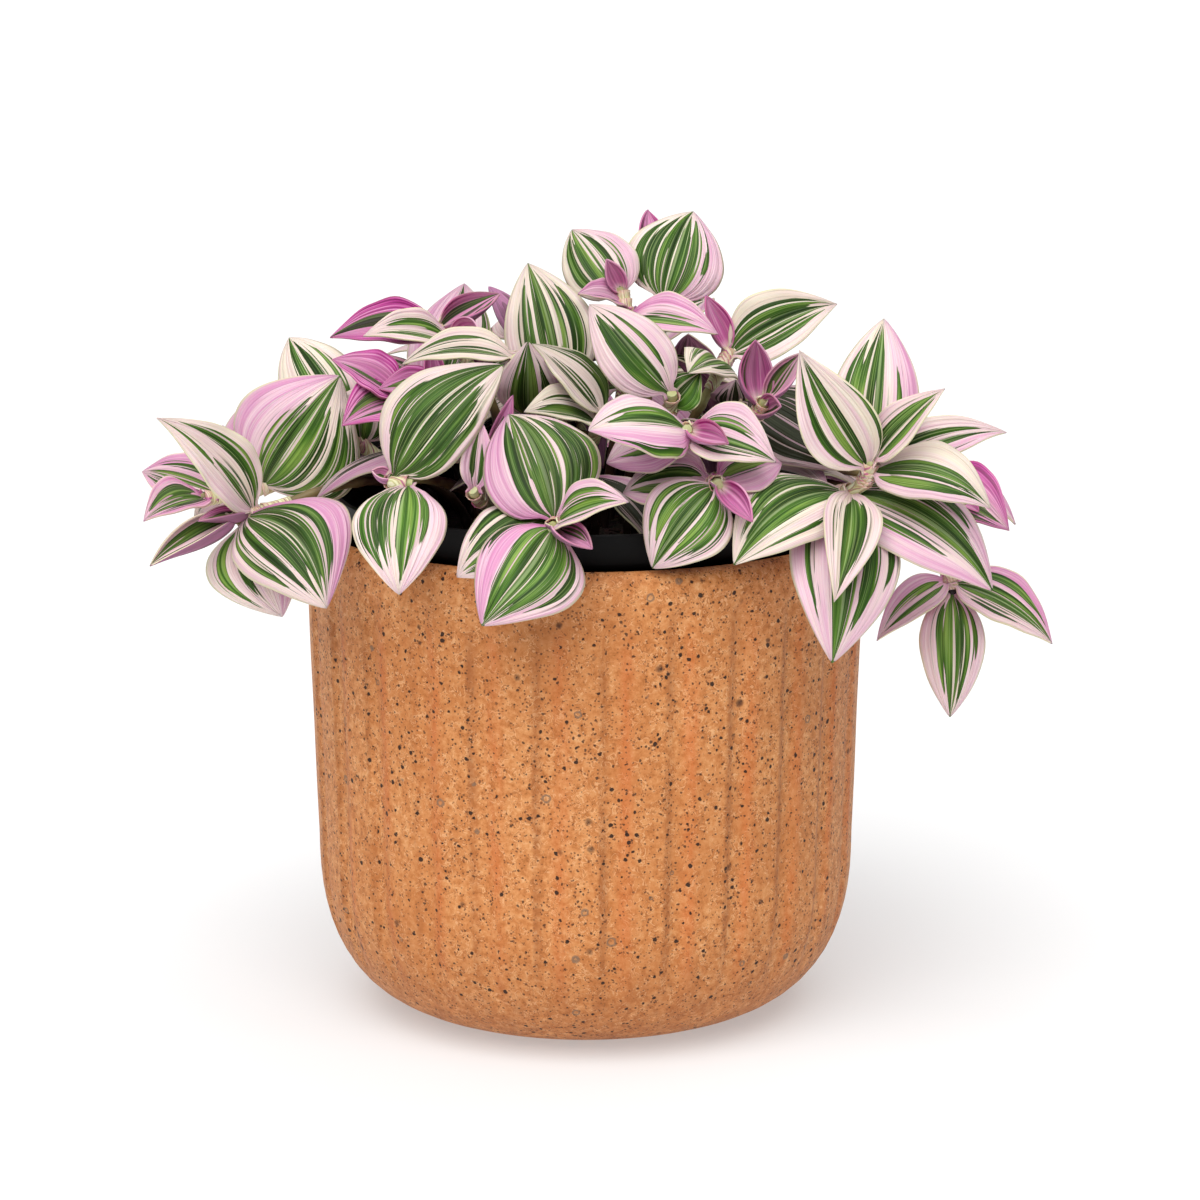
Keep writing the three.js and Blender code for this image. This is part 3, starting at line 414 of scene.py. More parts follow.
def makeBlackPlastic():
    # injection-moulded polypropylene: near black with a faint satin gloss and fine scuffs
    material, tree, shader = newMaterial("moulded black polypropylene", {
        "Roughness": 0.5, "IOR": 1.49, "Specular IOR Level": 0.15})
    place = addNode(tree, "TexCoord", out="Object")
    # scuffs of 11 mm, and the mould's fine texture, drawn at 0.7 mm, coarser than life, to show
    scuff = addNode(tree, "TexNoise", {"Vector": place, "Scale": 90, "Detail": 5, "Roughness": 0.7})
    tint = addNode(tree, "ValToRGB", {"Fac": scuff}, stops=[
        (0.35, "#030303"), (0.6, "#080707"), (0.8, "#1a1613")])
    tree.links.new(tint, shader.inputs["Base Color"])
    fine = addNode(tree, "TexNoise", {"Vector": place, "Scale": 1400, "Detail": 2})
    bump = addNode(tree, "Bump", {"Height": fine, "Strength": 0.12, "Distance": 0.0002})
    tree.links.new(bump, shader.inputs["Normal"])
    return material


def makeNurseryPot():
    pot = nurseryPot
    rimFoot = pot["rimHeight"] - pot["rimBand"]
    taper = (pot["bodyTop"] - pot["bodyFoot"]) / (rimFoot - pot["floor"])
    foot, floor, inside = pot["bodyFoot"], pot["floor"], pot["floor"] + pot["wall"]

    def wallAt(z):
        return foot + taper * (z - floor)

    profile = [(0, floor), (15, floor), (foot - 2.5, floor)]
    profile += [(foot - 0.6, floor + 0.4), (foot, floor + 1.5)]
    profile += [(wallAt(z), z) for z in range(14, 120, 9)]
    profile += [(pot["rimRadius"] - inwards, pot["rimHeight"] - down)
                for inwards, down in pot["rimOutside"] + pot["rimInside"]]
    profile += [(wallAt(z) - pot["wall"], z) for z in range(118, 12, -9)]
    profile += [(foot - 1, floor + 2.5), (foot - 1.8, floor + 1.5), (15, inside), (0, inside)]
    piece = spinProfile("black_nursery_pot", profile, pot["steps"])
    for vertex in piece.data.vertices:  # the mould's parting line stands up a little, front and back
        x, y, z = vertex.co / mm
        radius = math.hypot(x, y)
        if radius > foot + 0.5 and z > pot["partingFoot"]:
            away = abs(math.degrees(math.atan2(y, x)) % 180 - pot["partingAngle"])
            if away < pot["partingWidth"] and radius > wallAt(min(z, rimFoot)) - 0.2:
                vertex.co.x *= 1 + pot["partingHeight"] / radius
                vertex.co.y *= 1 + pot["partingHeight"] / radius
    ring = pot["holeRing"] * mm
    for k in range(pot["holes"]):
        angle = 2 * math.pi * k / pot["holes"]
        deselectAll()
        bpy.ops.mesh.primitive_cylinder_add(
            vertices=32, radius=pot["holeRadius"] * mm, depth=pot["cutterLength"] * mm,
            location=(ring * math.cos(angle), ring * math.sin(angle), pot["cutterMiddle"] * mm))
        cutter = bpy.context.object
        pick(piece)
        cut = piece.modifiers.new("drainage hole", "BOOLEAN")
        cut.operation = "DIFFERENCE"
        cut.object = cutter
        cut.solver = "EXACT"
        bpy.ops.object.modifier_apply(modifier=cut.name)
        bpy.data.objects.remove(cutter)
    pick(piece)
    bpy.ops.object.shade_smooth_by_angle(angle=math.radians(40))
    piece.data.materials.clear()
    piece.data.materials.append(makeBlackPlastic())
    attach(piece, "root")
    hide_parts("nursery_pot")


makeNurseryPot()
print("nursery pot ready")

# potting soil

soil = {
    "height": 119, "radius": 57.2, "foot": 10.0, "footRadius": 38.6, "crown": 2.5, "steps": 150,
    "lumps": ((0.22, 1.3), (0.75, 0.7)), "highestLump": 1.2,  # how fine and how high
    "crumbs": 420, "crumbReach": 55, "seed": 41,
    "crumbSizes": ((0.8, 2.6), (0.6, 1.3), (0.4, 0.9)), "crumbDents": (0.75, 1.2), "crumbTilt": 0.15,
}


def makePottingSoil():
    # damp peat with bark crumbs: nearly black brown, rough, with a few paler fibres and husks
    material, tree, shader = newMaterial("damp peat and bark", {
        "Roughness": 0.95, "Specular IOR Level": 0.15})
    place = addNode(tree, "TexCoord", out="Object")
    # crumbs of 2 mm and finer, among husks of 4 mm
    crumb = addNode(tree, "TexNoise", {"Vector": place, "Scale": 420, "Detail": 6, "Roughness": 0.7})
    tint = addNode(tree, "ValToRGB", {"Fac": crumb}, stops=[
        (0.3, "#0a0704"), (0.5, "#1a120b"), (0.64, "#33241a"), (0.82, "#5f4732")])
    patch = addNode(tree, "TexVoronoi", {"Vector": place, "Scale": 230}, out="Color")
    husks = addNode(tree, "Mix", {0: 0.6, 6: tint, 7: patch}, blend_type="MULTIPLY", **asColour)
    tree.links.new(husks, shader.inputs["Base Color"])
    bump = addNode(tree, "Bump", {"Height": crumb, "Strength": 0.9, "Distance": 0.0008})
    tree.links.new(bump, shader.inputs["Normal"])
    return material


def makeSoil():
    foot, top, radius = soil["foot"], soil["height"], soil["radius"]

    def topAt(reach):
        return top + soil["crown"] * (1 - reach / radius)

    profile = [(0, foot), (20, foot), (soil["footRadius"], foot)]
    profile += [(radius, top - 1.0), (radius - 0.8, top)]
    profile += [(reach, topAt(reach)) for reach in range(soil["crumbReach"], 2, -2)]
    profile.append((0, topAt(0)))
    piece = spinProfile("potting_soil", profile, soil["steps"])
    for vertex in piece.data.vertices:
        if vertex.co.z > (top - 0.5) * mm:
            spot = vertex.co / mm
            lumps = sum(noise.noise(spot * fine) * high for fine, high in soil["lumps"])
            vertex.co.z += min(lumps, soil["highestLump"]) * mm
    draw = random.Random(soil["seed"])
    deselectAll()
    bpy.ops.mesh.primitive_ico_sphere_add(subdivisions=1, radius=mm)
    crumbShape = bpy.context.object
    crumbs = []
    for k in range(soil["crumbs"]):
        crumb = crumbShape.copy()
        crumb.data = crumbShape.data.copy()
        bpy.context.scene.collection.objects.link(crumb)
        reach, turn = soil["crumbReach"] * math.sqrt(draw.random()), draw.uniform(0, 2 * math.pi)
        centre = Vector((reach * math.cos(turn), reach * math.sin(turn), topAt(reach)))
        size = Vector([draw.uniform(*limits) for limits in soil["crumbSizes"]])
        spin = draw.uniform(0, math.pi)
        spinCos, spinSin = math.cos(spin), math.sin(spin)
        for vertex in crumb.data.vertices:
            p = vertex.co * (1 / mm) * draw.uniform(*soil["crumbDents"])
            tilt = draw.uniform(-soil["crumbTilt"], soil["crumbTilt"])
            p = Vector((p.x * size.x, p.y * size.y, p.z * size.z + tilt))
            turned = Vector((p.x * spinCos - p.y * spinSin, p.x * spinSin + p.y * spinCos, p.z))
            vertex.co = (turned + centre) * mm
        crumbs.append(crumb)
    bpy.data.objects.remove(crumbShape)
    pick(piece)
    for crumb in crumbs:
        crumb.select_set(True)
    bpy.ops.object.join()
    piece.data.materials.clear()
    piece.data.materials.append(makePottingSoil())
    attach(piece, "root")
    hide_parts("soil")


makeSoil()
print("soil ready")

# leafy shoots

leafForms = {
    "dome": {"arch": 0.12, "cup": -0.3, "fold": 0.12, "taper": 0.95},
    "boat": {"arch": 0.07, "cup": 0.12, "fold": 0.28, "taper": 1.05},
    "young": {"arch": 0.04, "cup": 0.1, "fold": 0.9, "taper": 1},
    "curl": {"arch": -0.1, "cup": 0.5, "fold": 0.6, "taper": 1},
    "bud": {"arch": 0.0, "cup": -0.9, "fold": 0.0, "taper": 1},
}
blade = {
    "thickness": 0.42, "rootHalfWidth": 1.2, "roundness": 0.6, "neck": 0.05,
    "rows": 30, "columns": 32, "rowEasing": 0.45, "columnEasing": 0.12,
    "footHalfWidth": 2.1, "footShare": 0.13, "footCup": 0.9,  # the foot clasps the stem
    "crease": 0.05, "bulge": 0.05, "grooveDepth": 0.34, "grooveWidth": 0.07,
    "pleat": 0.09, "pleats": 15,
    "ripple": 0.32, "rippleWaves": (2.2, 3.4), "rippleShift": 1.3,
    "lean": 0.05, "droop": (0.01, 0.05), "droopFrom": 0.7,
    "bandGain": 1.25, "bandExtra": 0.015,  # how much broader a green band is than it is listed
    "bandStart": 0.12, "bandEnd": 0.24,  # the length over which it draws out to a point
    "bandPoint": 0.6,  # how blunt that point is
    "bandWaver": ((0.025, 5, 1), (0.012, 11, 2)),  # how far it strays, how often, and its phase
}
rolledLeaf = {  # young leaves, still half rolled up round their midribs
    "kinds": ("young", "curl", "bud"), "roll": 2.4, "unrolling": 1.3, "fullness": 0.28, "sink": 0.55,
    "twist": 0.5,
}
blushing = {
    "reach": 0.65, "curve": 1.3,  # how the middle's pink passes into the sides'
    "glowMiddle": 0.3, "glowMargin": 0.7, "glowCurve": 1.2, "glowFoot": 0.4,  # magenta, by place
    "creamFoot": (0.06, 0.24), "paleFoot": (0.04, 0.2),  # of a rolled leaf: from where, over how far
    "magentaFoot": 0.55, "magentaReach": 0.22, "magentaLeast": 0.25,  # of an open one
}
bandRule = {  # the bands of a leaf that isn't in the picture
    "centre": (-0.2, 0.2), "broad": (0.13, 0.3), "broadEnd": (0.92, 1.0), "firstGap": (0.1, 0.2),
    "narrow": (0.035, 0.13), "narrowStart": (0, 0.2), "narrowEnd": (0.65, 0.95), "gap": (0.08, 0.25),
    "shown": 0.85, "furthest": 0.9, "blush": (0.05, 0.7), "bareBlush": (0.7, 1.0),
    "youngMagenta": (0.5, 0.95), "magenta": (0, 0, 0.05, 0.12),
}
fullTurn = 6.28  # radians
leafSeed = 7000
stem = {
    "radius": 1.45, "rising": 0.35, "risingOver": 0.62, "rimReach": 60, "ending": 0.4,
    "baseHeight": 120, "sunk": 8.5, "pastEnd": 1.2, "rings": 40,
    "girth": 0.88, "thinning": 0.1, "jointSwell": 0.22, "jointLength": 0.022, "jointSpacing": 0.2,
    "jointsBelow": 6, "lowestJoint": 0.05, "oldAndShadedUpTo": 112, "freshOver": 30,
    "sheathLength": 5.5, "sheathRings": 5, "sheathWall": 0.2, "sheathTaper": 0.1, "sheathFlare": 0.38,
}
shades = {"low": 0.85, "dark_right": 0.8, "crown_low": 0.35, "back_inner": 0.35}  # painted shade on the leaves of shoots deep in the plant
# a tone drawn at random for each leaf, and the darkest that painted shade and tone together may go
toneDraw, darkestShadeAndTone = 0.3, 0.95

# The viewer's side was read off the picture, whose viewpoint is in photo above. A shoot ends at
# its pixel and depth y, and each leaf reaches from its place along the stem to its own tip's pixel
# and depth, in millimetres. face is where its upper side looks, in degrees, and bow bends it
# sideways, as a share of its length. pink is how pink its left side, middle and right side are,
# magenta how magenta all of it is, and bands are its green ones: centre, half width, start and end,
# as shares of its half width and length. Left is +.


def leafAt(form, at, tipPixel, y, width, face, bow=0, pink=(0.5, 0.5, 0.5), magenta=0, bands=None):
    return {"form": form, "at": at, "tipPixel": tipPixel, "y": y, "width": width, "face": face,
            "bow": bow, "look": (pink, magenta, bands)}


frontShoots = [
    {"name": "left_front", "endPixel": (238, 518), "y": -42, "grow": (-150, -5), "leaves": [
        leafAt("boat", 0.93, tipPixel=(160, 417), y=-52, width=16, face=(-70, 30), bow=-0.06,
            pink=(0.35, 0.25, 0.2), bands=[(-0.55, 0.14, 0.02, 0.9), (0.06, 0.1, 0, 0.55),
            (0.24, 0.07, 0.5, 1)]),
        leafAt("dome", 0.97, tipPixel=(326, 607), y=-66, width=29, face=(-85, 25), bow=0.13,
            pink=(0.95, 0.1, 0.3), bands=[(0.33, 0.17, 0, 0.97), (0, 0.12, 0, 0.96),
            (-0.3, 0.07, 0.02, 0.95), (-0.55, 0.05, 0.03, 0.9), (-0.8, 0.04, 0.05, 0.8)]),
        leafAt("dome", 0.89, tipPixel=(282, 616), y=-52, width=25, face=(-105, 25), bow=-0.13,
            pink=(0.7, 0.35, 0.25), bands=[(-0.62, 0.08, 0.1, 0.86), (-0.2, 0.06, 0.15, 0.8)]),
        leafAt("young", 1, tipPixel=(150, 562), y=-60, width=10, face=(-90, 55),
            pink=(0.2, 0.4, 0.3), magenta=0.25, bands=[(0.4, 0.16, 0, 1), (-0.1, 0.08, 0.1, 0.9),
            (-0.55, 0.16, 0, 1)]),
        leafAt("young", 0.95, tipPixel=(205, 512), y=-54, width=6, face=(-90, 60),
            pink=(0.5, 0.9, 0.4), magenta=0.8, bands=[(-0.4, 0.2, 0, 0.7)]),
    ]},
    {"name": "left_edge", "endPixel": (205, 498), "y": -14, "grow": (-170, 0), "leaves": [
        leafAt("boat", 1, tipPixel=(144, 518), y=-30, width=14, face=(-95, 50),
            pink=(0.9, 0.6, 0.6), magenta=0.35, bands=[(0.6, 0.1, 0.05, 0.9), (0.25, 0.12, 0, 0.95),
            (-0.1, 0.08, 0, 1), (-0.45, 0.15, 0.1, 0.9)]),
        leafAt("boat", 0.93, tipPixel=(141, 470), y=-4, width=15, face=(-90, 40),
            pink=(0.7, 0.5, 0.9), magenta=0.15, bands=[(0.6, 0.1, 0.1, 0.9), (0.25, 0.08, 0.1, 0.95),
            (-0.1, 0.1, 0, 0.9), (-0.5, 0.06, 0.2, 0.8)]),
        leafAt("young", 0.88, tipPixel=(222, 424), y=4, width=10, face=(-90, 20),
            pink=(0.9, 0.7, 0.6), magenta=0.35),
        leafAt("dome", 0.78, tipPixel=(338, 376), y=-16, width=35, face=(-95, 15), bow=-0.03,
            pink=(0.9, 0.15, 0.12), bands=[(0.27, 0.07, 0, 0.8), (-0.02, 0.13, 0, 1),
            (-0.3, 0.1, 0.04, 0.82), (-0.66, 0.1, 0.05, 0.85), (-0.86, 0.06, 0.1, 0.8)]),
        leafAt("dome", 0.7, tipPixel=(258, 386), y=-4, width=27, face=(-110, 25), bow=0.05,
            pink=(0.95, 0.9, 0.8), bands=[(-0.6, 0.05, 0.2, 0.8)]),
    ]},
    {"name": "left_high", "endPixel": (348, 432), "y": -10, "grow": (150, 40), "leaves": [
        leafAt("dome", 1, tipPixel=(288, 335), y=6, width=20, face=(-100, 35),
            pink=(0.1, 0.1, 0.1), bands=[(0.2, 0.1, 0, 1), (-0.15, 0.08, 0.1, 0.95),
            (-0.55, 0.07, 0, 0.8)]),
        leafAt("dome", 0.9, tipPixel=(372, 382), y=-8, width=17, face=(-90, 20), bow=0.05,
            pink=(0.2, 0.1, 0.3), bands=[(-0.1, 0.2, 0, 1), (0.45, 0.1, 0.05, 0.9),
            (-0.6, 0.08, 0.1, 0.85)]),
    ]},
    {"name": "left_mid", "endPixel": (408, 484), "y": -54, "grow": (-10, 0), "leaves": [
        leafAt("dome", 0.84, tipPixel=(503, 364), y=-40, width=24, face=(-100, 30), bow=0.06,
            pink=(0.3, 0.1, 0.1), bands=[(0.6, 0.04, 0.2, 0.66), (0.12, 0.33, 0, 1),
            (-0.4, 0.08, 0, 0.8), (-0.62, 0.06, 0.02, 0.75), (-0.82, 0.05, 0.05, 0.6)]),
        leafAt("bud", 0.8, tipPixel=(372, 470), y=-52, width=5, face=(-90, 60),
            pink=(0.9, 0.9, 0.9), magenta=0.5, bands=[(0, 0.3, 0, 0.8)]),
        leafAt("dome", 1, tipPixel=(399, 593), y=-78, width=22, face=(-90, 15), bow=-0.04,
            pink=(0.5, 0.25, 0.4), bands=[(0.2, 0.2, 0, 0.92), (0.55, 0.04, 0.1, 0.7),
            (-0.2, 0.05, 0.05, 0.8), (-0.4, 0.05, 0.05, 0.85), (-0.68, 0.14, 0.05, 0.85)]),
    ]},
    {"name": "front", "endPixel": (553, 527), "y": -72, "grow": (-100, 5), "leaves": [
        leafAt("dome", 0.94, tipPixel=(508, 411), y=-46, width=28, face=(-90, 30), bow=-0.06,
            pink=(0.95, 0.15, 0.4), magenta=0.05, bands=[(0.44, 0.08, 0, 0.9), (0.26, 0.04, 0.3, 0.95),
            (-0.03, 0.2, 0, 1), (-0.45, 0.07, 0.05, 0.9), (-0.75, 0.13, 0.1, 0.8)]),
        leafAt("dome", 0.97, tipPixel=(482, 624), y=-88, width=26, face=(-95, 30), bow=0.06,
            pink=(0.6, 0.1, 1), magenta=0.1, bands=[(-0.32, 0.13, 0, 0.97), (0.02, 0.2, 0, 1),
            (0.48, 0.12, 0, 0.95), (0.72, 0.04, 0.1, 0.8), (-0.9, 0.04, 0.05, 0.5)]),
        leafAt("boat", 0.92, tipPixel=(627, 500), y=-82, width=15, face=(-90, 50),
            pink=(0.6, 0.4, 0.7), magenta=0.1, bands=[(0.05, 0.18, 0, 0.9), (0.55, 0.1, 0.1, 0.9),
            (-0.6, 0.06, 0.2, 0.8)]),
        leafAt("young", 1, tipPixel=(592, 548), y=-88, width=7, face=(-90, 50),
            pink=(0.7, 0.8, 0.7), magenta=0.75, bands=[(0.35, 0.12, 0.1, 0.8), (-0.3, 0.1, 0, 0.7)]),
        leafAt("dome", 0.8, tipPixel=(457, 574), y=-74, width=22, face=(-110, 35),
            pink=(0.4, 0.3, 0.3), bands=[(0.5, 0.14, 0, 0.95), (0.1, 0.16, 0, 0.95),
            (-0.3, 0.12, 0.1, 0.9), (-0.7, 0.08, 0.1, 0.8)]),
    ]},
    {"name": "front_slim", "endPixel": (474, 492), "y": -50, "grow": (-110, 40), "leaves": [
        leafAt("boat", 1, tipPixel=(462, 414), y=-51, width=9, face=(-85, 10),
            pink=(0.6, 0.6, 0.6), magenta=0.1, bands=[(0.3, 0.12, 0.2, 0.9), (-0.3, 0.1, 0.1, 0.7)]),
        leafAt("young", 0.9, tipPixel=(513, 394), y=-38, width=6, face=(-90, 20),
            pink=(1, 1, 1), magenta=0.8, bands=[(0.2, 0.2, 0.2, 0.8)]),
    ]},
    {"name": "crown_left", "endPixel": (517, 360), "y": -24, "grow": (-100, 60), "leaves": [
        leafAt("boat", 1, tipPixel=(402, 363), y=-26, width=13, face=(-90, 60), bow=-0.08,
            pink=(0.15, 0.1, 0.1), bands=[(0.2, 0.2, 0.05, 0.9), (-0.5, 0.05, 0.3, 0.8)]),
        leafAt("dome", 0.7, tipPixel=(528, 343), y=-34, width=16, face=(-90, 25),
            pink=(0.4, 0.3, 0.5), bands=[(0.1, 0.35, 0, 1), (-0.6, 0.1, 0.1, 0.8)]),
    ]},
    {"name": "crown_low", "endPixel": (604, 418), "y": -32, "grow": (-60, 40), "leaves": [
        leafAt("boat", 1, tipPixel=(529, 350), y=-24, width=13, face=(-80, 60),
            pink=(0.1, 0.1, 0.1), bands=[(-0.8, 0.2, 0, 1), (-0.1, 0.06, 0.1, 0.8),
            (0.3, 0.08, 0.1, 0.9)]),
        leafAt("boat", 0.92, tipPixel=(525, 410), y=-44, width=16, face=(-90, 55),
            pink=(0.1, 0.1, 0.1), bands=[(0.5, 0.12, 0, 0.9), (0, 0.2, 0, 0.9), (-0.5, 0.07, 0.1, 0.8)]),
    ]},
    {"name": "purple_far", "endPixel": (437, 330), "y": 8, "grow": (150, 30), "leaves": [
        leafAt("boat", 0.96, tipPixel=(330, 336), y=0, width=17, face=(-90, 55),
            pink=(1, 1, 1), magenta=0.95, bands=[(-0.35, 0.15, 0, 1), (0.45, 0.12, 0, 0.6)]),
        leafAt("young", 1, tipPixel=(500, 292), y=14, width=9, face=(-90, 50),
            pink=(0.6, 0.9, 0.3), magenta=0.8, bands=[(-0.3, 0.15, 0.1, 0.9), (0.4, 0.1, 0, 1)]),
        leafAt("boat", 0.9, tipPixel=(352, 352), y=-8, width=14, face=(-90, 50),
            pink=(0.3, 0.2, 0.3), magenta=0.1, bands=[(0.2, 0.2, 0, 0.9), (-0.4, 0.1, 0.1, 0.8)]),
        leafAt("young", 0.93, tipPixel=(476, 326), y=-6, width=9, face=(-90, 40),
            pink=(0.8, 0.8, 0.8), magenta=0.7, bands=[(0.35, 0.12, 0, 1), (-0.05, 0.08, 0, 1),
            (-0.5, 0.1, 0, 1)]),
    ]},
    {"name": "purple_mid", "endPixel": (436, 392), "y": -10, "grow": (-150, 40), "leaves": [
        leafAt("boat", 0.95, tipPixel=(366, 404), y=-22, width=15, face=(-95, 45), bow=0.05,
            pink=(0.9, 0.8, 0.9), magenta=0.8, bands=[(0.35, 0.1, 0.05, 0.9), (-0.3, 0.14, 0.1, 0.9)]),
        leafAt("dome", 0.86, tipPixel=(462, 440), y=-26, width=17, face=(-95, 35),
            pink=(0.6, 0.9, 0.4), magenta=0.5, bands=[(0.1, 0.2, 0, 0.9), (-0.5, 0.12, 0.1, 0.85)]),
        leafAt("young", 1, tipPixel=(418, 348), y=-10, width=6, face=(-90, 25),
            pink=(1, 1, 1), magenta=0.9, bands=[]),
        leafAt("boat", 0.9, tipPixel=(494, 382), y=-4, width=13, face=(-90, 45),
            pink=(0.8, 0.6, 0.8), magenta=0.5, bands=[(-0.2, 0.2, 0.05, 0.9), (0.4, 0.08, 0.1, 0.8)]),
    ]},
    {"name": "purple_near", "endPixel": (393, 392), "y": -20, "grow": (-160, 40), "leaves": [
        leafAt("boat", 0.96, tipPixel=(335, 355), y=-22, width=14, face=(-90, 55),
            pink=(0.9, 0.9, 0.9), magenta=0.85, bands=[(0.2, 0.12, 0.1, 0.9)]),
        leafAt("boat", 0.92, tipPixel=(342, 424), y=-34, width=16, face=(-100, 40),
            pink=(1, 0.9, 0.8), magenta=0.9, bands=[(0.3, 0.08, 0.1, 0.9), (-0.35, 0.14, 0.1, 0.9)]),
        leafAt("young", 1, tipPixel=(372, 345), y=-24, width=8, face=(-90, 30),
            pink=(1, 1, 1), magenta=0.95, bands=[]),
    ]},
    {"name": "crown_cream", "endPixel": (560, 396), "y": -12, "grow": (100, 70), "leaves": [
        leafAt("dome", 1, tipPixel=(528, 262), y=0, width=23, face=(-90, 20), bow=-0.03,
            pink=(0.1, 0.05, 0.1), bands=[(0.5, 0.12, 0, 0.85), (0.08, 0.14, 0, 1),
            (-0.27, 0.06, 0.1, 0.95), (-0.62, 0.1, 0.05, 0.8)]),
    ]},
    {"name": "crown_pink", "endPixel": (672, 396), "y": -36, "grow": (-90, 50), "leaves": [
        leafAt("dome", 1, tipPixel=(590, 303), y=-28, width=18, face=(-100, 35),
            pink=(0.45, 0.3, 0.4), bands=[(0.25, 0.2, 0, 0.9), (-0.4, 0.04, 0.2, 0.8),
            (-0.1, 0.05, 0.1, 0.9)]),
        leafAt("boat", 0.92, tipPixel=(690, 366), y=-34, width=10, face=(-85, 30),
            pink=(0, 0, 0), bands=[(0, 1.2, 0, 1)]),
    ]},
    {"name": "top_left", "endPixel": (622, 292), "y": 0, "grow": (120, 60), "leaves": [
        leafAt("dome", 0.97, tipPixel=(572, 228), y=14, width=19, face=(-90, 30),
            pink=(0.1, 0.2, 0.5), bands=[(0.6, 0.16, 0, 0.95), (0.2, 0.14, 0, 1), (-0.2, 0.08, 0.1, 0.9),
            (-0.5, 0.05, 0.1, 0.8)]),
        leafAt("young", 1, tipPixel=(612, 256), y=-4, width=6, face=(-90, 25),
            pink=(1, 1, 1), magenta=0.6, bands=[]),
        leafAt("boat", 0.94, tipPixel=(579, 292), y=-10, width=11, face=(-90, 60),
            pink=(1, 0.9, 1), magenta=0.3, bands=[(0.5, 0.08, 0.2, 0.8)]),
        leafAt("boat", 0.9, tipPixel=(718, 332), y=-16, width=14, face=(-90, 50),
            pink=(0.9, 0.7, 0.8), magenta=0.1, bands=[(-0.2, 0.2, 0.05, 0.9), (0.2, 0.04, 0.2, 0.8)]),
    ]},
    {"name": "top", "endPixel": (664, 297), "y": 4, "grow": (80, 70), "leaves": [
        leafAt("dome", 0.97, tipPixel=(694, 210), y=18, width=25, face=(-90, 20), bow=0.03,
            pink=(0.1, 0.1, 0.7), bands=[(0.72, 0.06, 0.1, 0.85), (0.48, 0.08, 0, 0.9), (0.2, 0.1, 0, 1),
            (-0.08, 0.07, 0, 0.95), (-0.35, 0.1, 0, 0.9), (-0.62, 0.03, 0.3, 0.7)]),
        leafAt("young", 0.97, tipPixel=(643, 200), y=26, width=10, face=(-90, 10),
            pink=(0.8, 0.9, 0.8), magenta=0.95, bands=[(0.75, 0.1, 0.1, 0.9)]),
    ]},
    {"name": "right_high", "endPixel": (730, 352), "y": -8, "grow": (60, 40), "leaves": [
        leafAt("boat", 0.97, tipPixel=(838, 303), y=-6, width=18, face=(-90, 35), bow=0.04,
            pink=(0.1, 0.1, 0.3), bands=[(0.45, 0.13, 0, 0.95), (0.05, 0.14, 0, 0.95),
            (-0.4, 0.14, 0.05, 0.9), (0.25, 0.03, 0.3, 0.8)]),
        leafAt("young", 1, tipPixel=(731, 290), y=-8, width=7, face=(-90, 15),
            pink=(1, 1, 1), magenta=0.95, bands=[]),
        leafAt("young", 0.95, tipPixel=(750, 308), y=-2, width=6, face=(-90, 25),
            pink=(1, 0.9, 1), magenta=0.8, bands=[(0.2, 0.15, 0.1, 0.8)]),
        leafAt("dome", 0.9, tipPixel=(677, 382), y=-36, width=15, face=(-90, 35),
            pink=(0.1, 0.1, 0.1), bands=[(0.1, 0.3, 0, 1), (-0.55, 0.12, 0, 0.9),
            (0.65, 0.1, 0.1, 0.8)]),
    ]},
    {"name": "middle", "endPixel": (688, 430), "y": -60, "grow": (-100, 20), "leaves": [
        leafAt("dome", 0.97, tipPixel=(590, 428), y=-74, width=21, face=(-90, 50),
            pink=(0.9, 0.3, 0.55), bands=[(-0.05, 0.17, 0, 0.85), (-0.35, 0.04, 0.1, 0.9),
            (0.85, 0.07, 0.2, 0.8)]),
        leafAt("dome", 0.92, tipPixel=(606, 462), y=-52, width=15, face=(-90, 40),
            pink=(0.9, 0.7, 0.7), magenta=0.1, bands=[(0.3, 0.1, 0.1, 0.8)]),
        leafAt("boat", 0.95, tipPixel=(776, 460), y=-66, width=18, face=(-90, 45),
            pink=(0.6, 0.4, 0.5), bands=[(-0.15, 0.2, 0, 1), (0.45, 0.07, 0.05, 0.75),
            (-0.6, 0.04, 0.2, 0.8)]),
        leafAt("young", 1, tipPixel=(728, 442), y=-72, width=7, face=(-90, 40),
            pink=(1, 1, 1), magenta=0.9, bands=[]),
    ]},
    {"name": "middle_low", "endPixel": (718, 484), "y": -64, "grow": (-80, 10), "leaves": [
        leafAt("dome", 0.97, tipPixel=(652, 567), y=-69, width=22, face=(-90, 35),
            pink=(0.5, 0.3, 0.4), bands=[(0, 0.16, 0, 1), (0.45, 0.13, 0.05, 0.9), (-0.4, 0.1, 0, 0.8),
            (-0.7, 0.06, 0.05, 0.8), (0.75, 0.05, 0.1, 0.8)]),
        leafAt("boat", 0.92, tipPixel=(623, 452), y=-50, width=18, face=(-90, 45),
            pink=(0.7, 0.5, 0.6), magenta=0.1, bands=[(0.2, 0.2, 0, 0.9), (-0.3, 0.1, 0.1, 0.9)]),
        leafAt("young", 1, tipPixel=(752, 520), y=-78, width=7, face=(-90, 35),
            pink=(1, 1, 1), magenta=0.85, bands=[]),
        leafAt("boat", 0.94, tipPixel=(783, 462), y=-52, width=14, face=(-80, 40),
            pink=(0.9, 0.8, 0.8), magenta=0.2, bands=[(0.2, 0.12, 0.1, 0.8)]),
    ]},
    {"name": "curl", "endPixel": (765, 402), "y": -46, "grow": (-60, 50), "leaves": [
        leafAt("curl", 0.96, tipPixel=(757, 340), y=-48, width=10, face=(-60, 20),
            pink=(1, 1, 1), magenta=0.85, bands=[(0.5, 0.1, 0.2, 0.9)]),
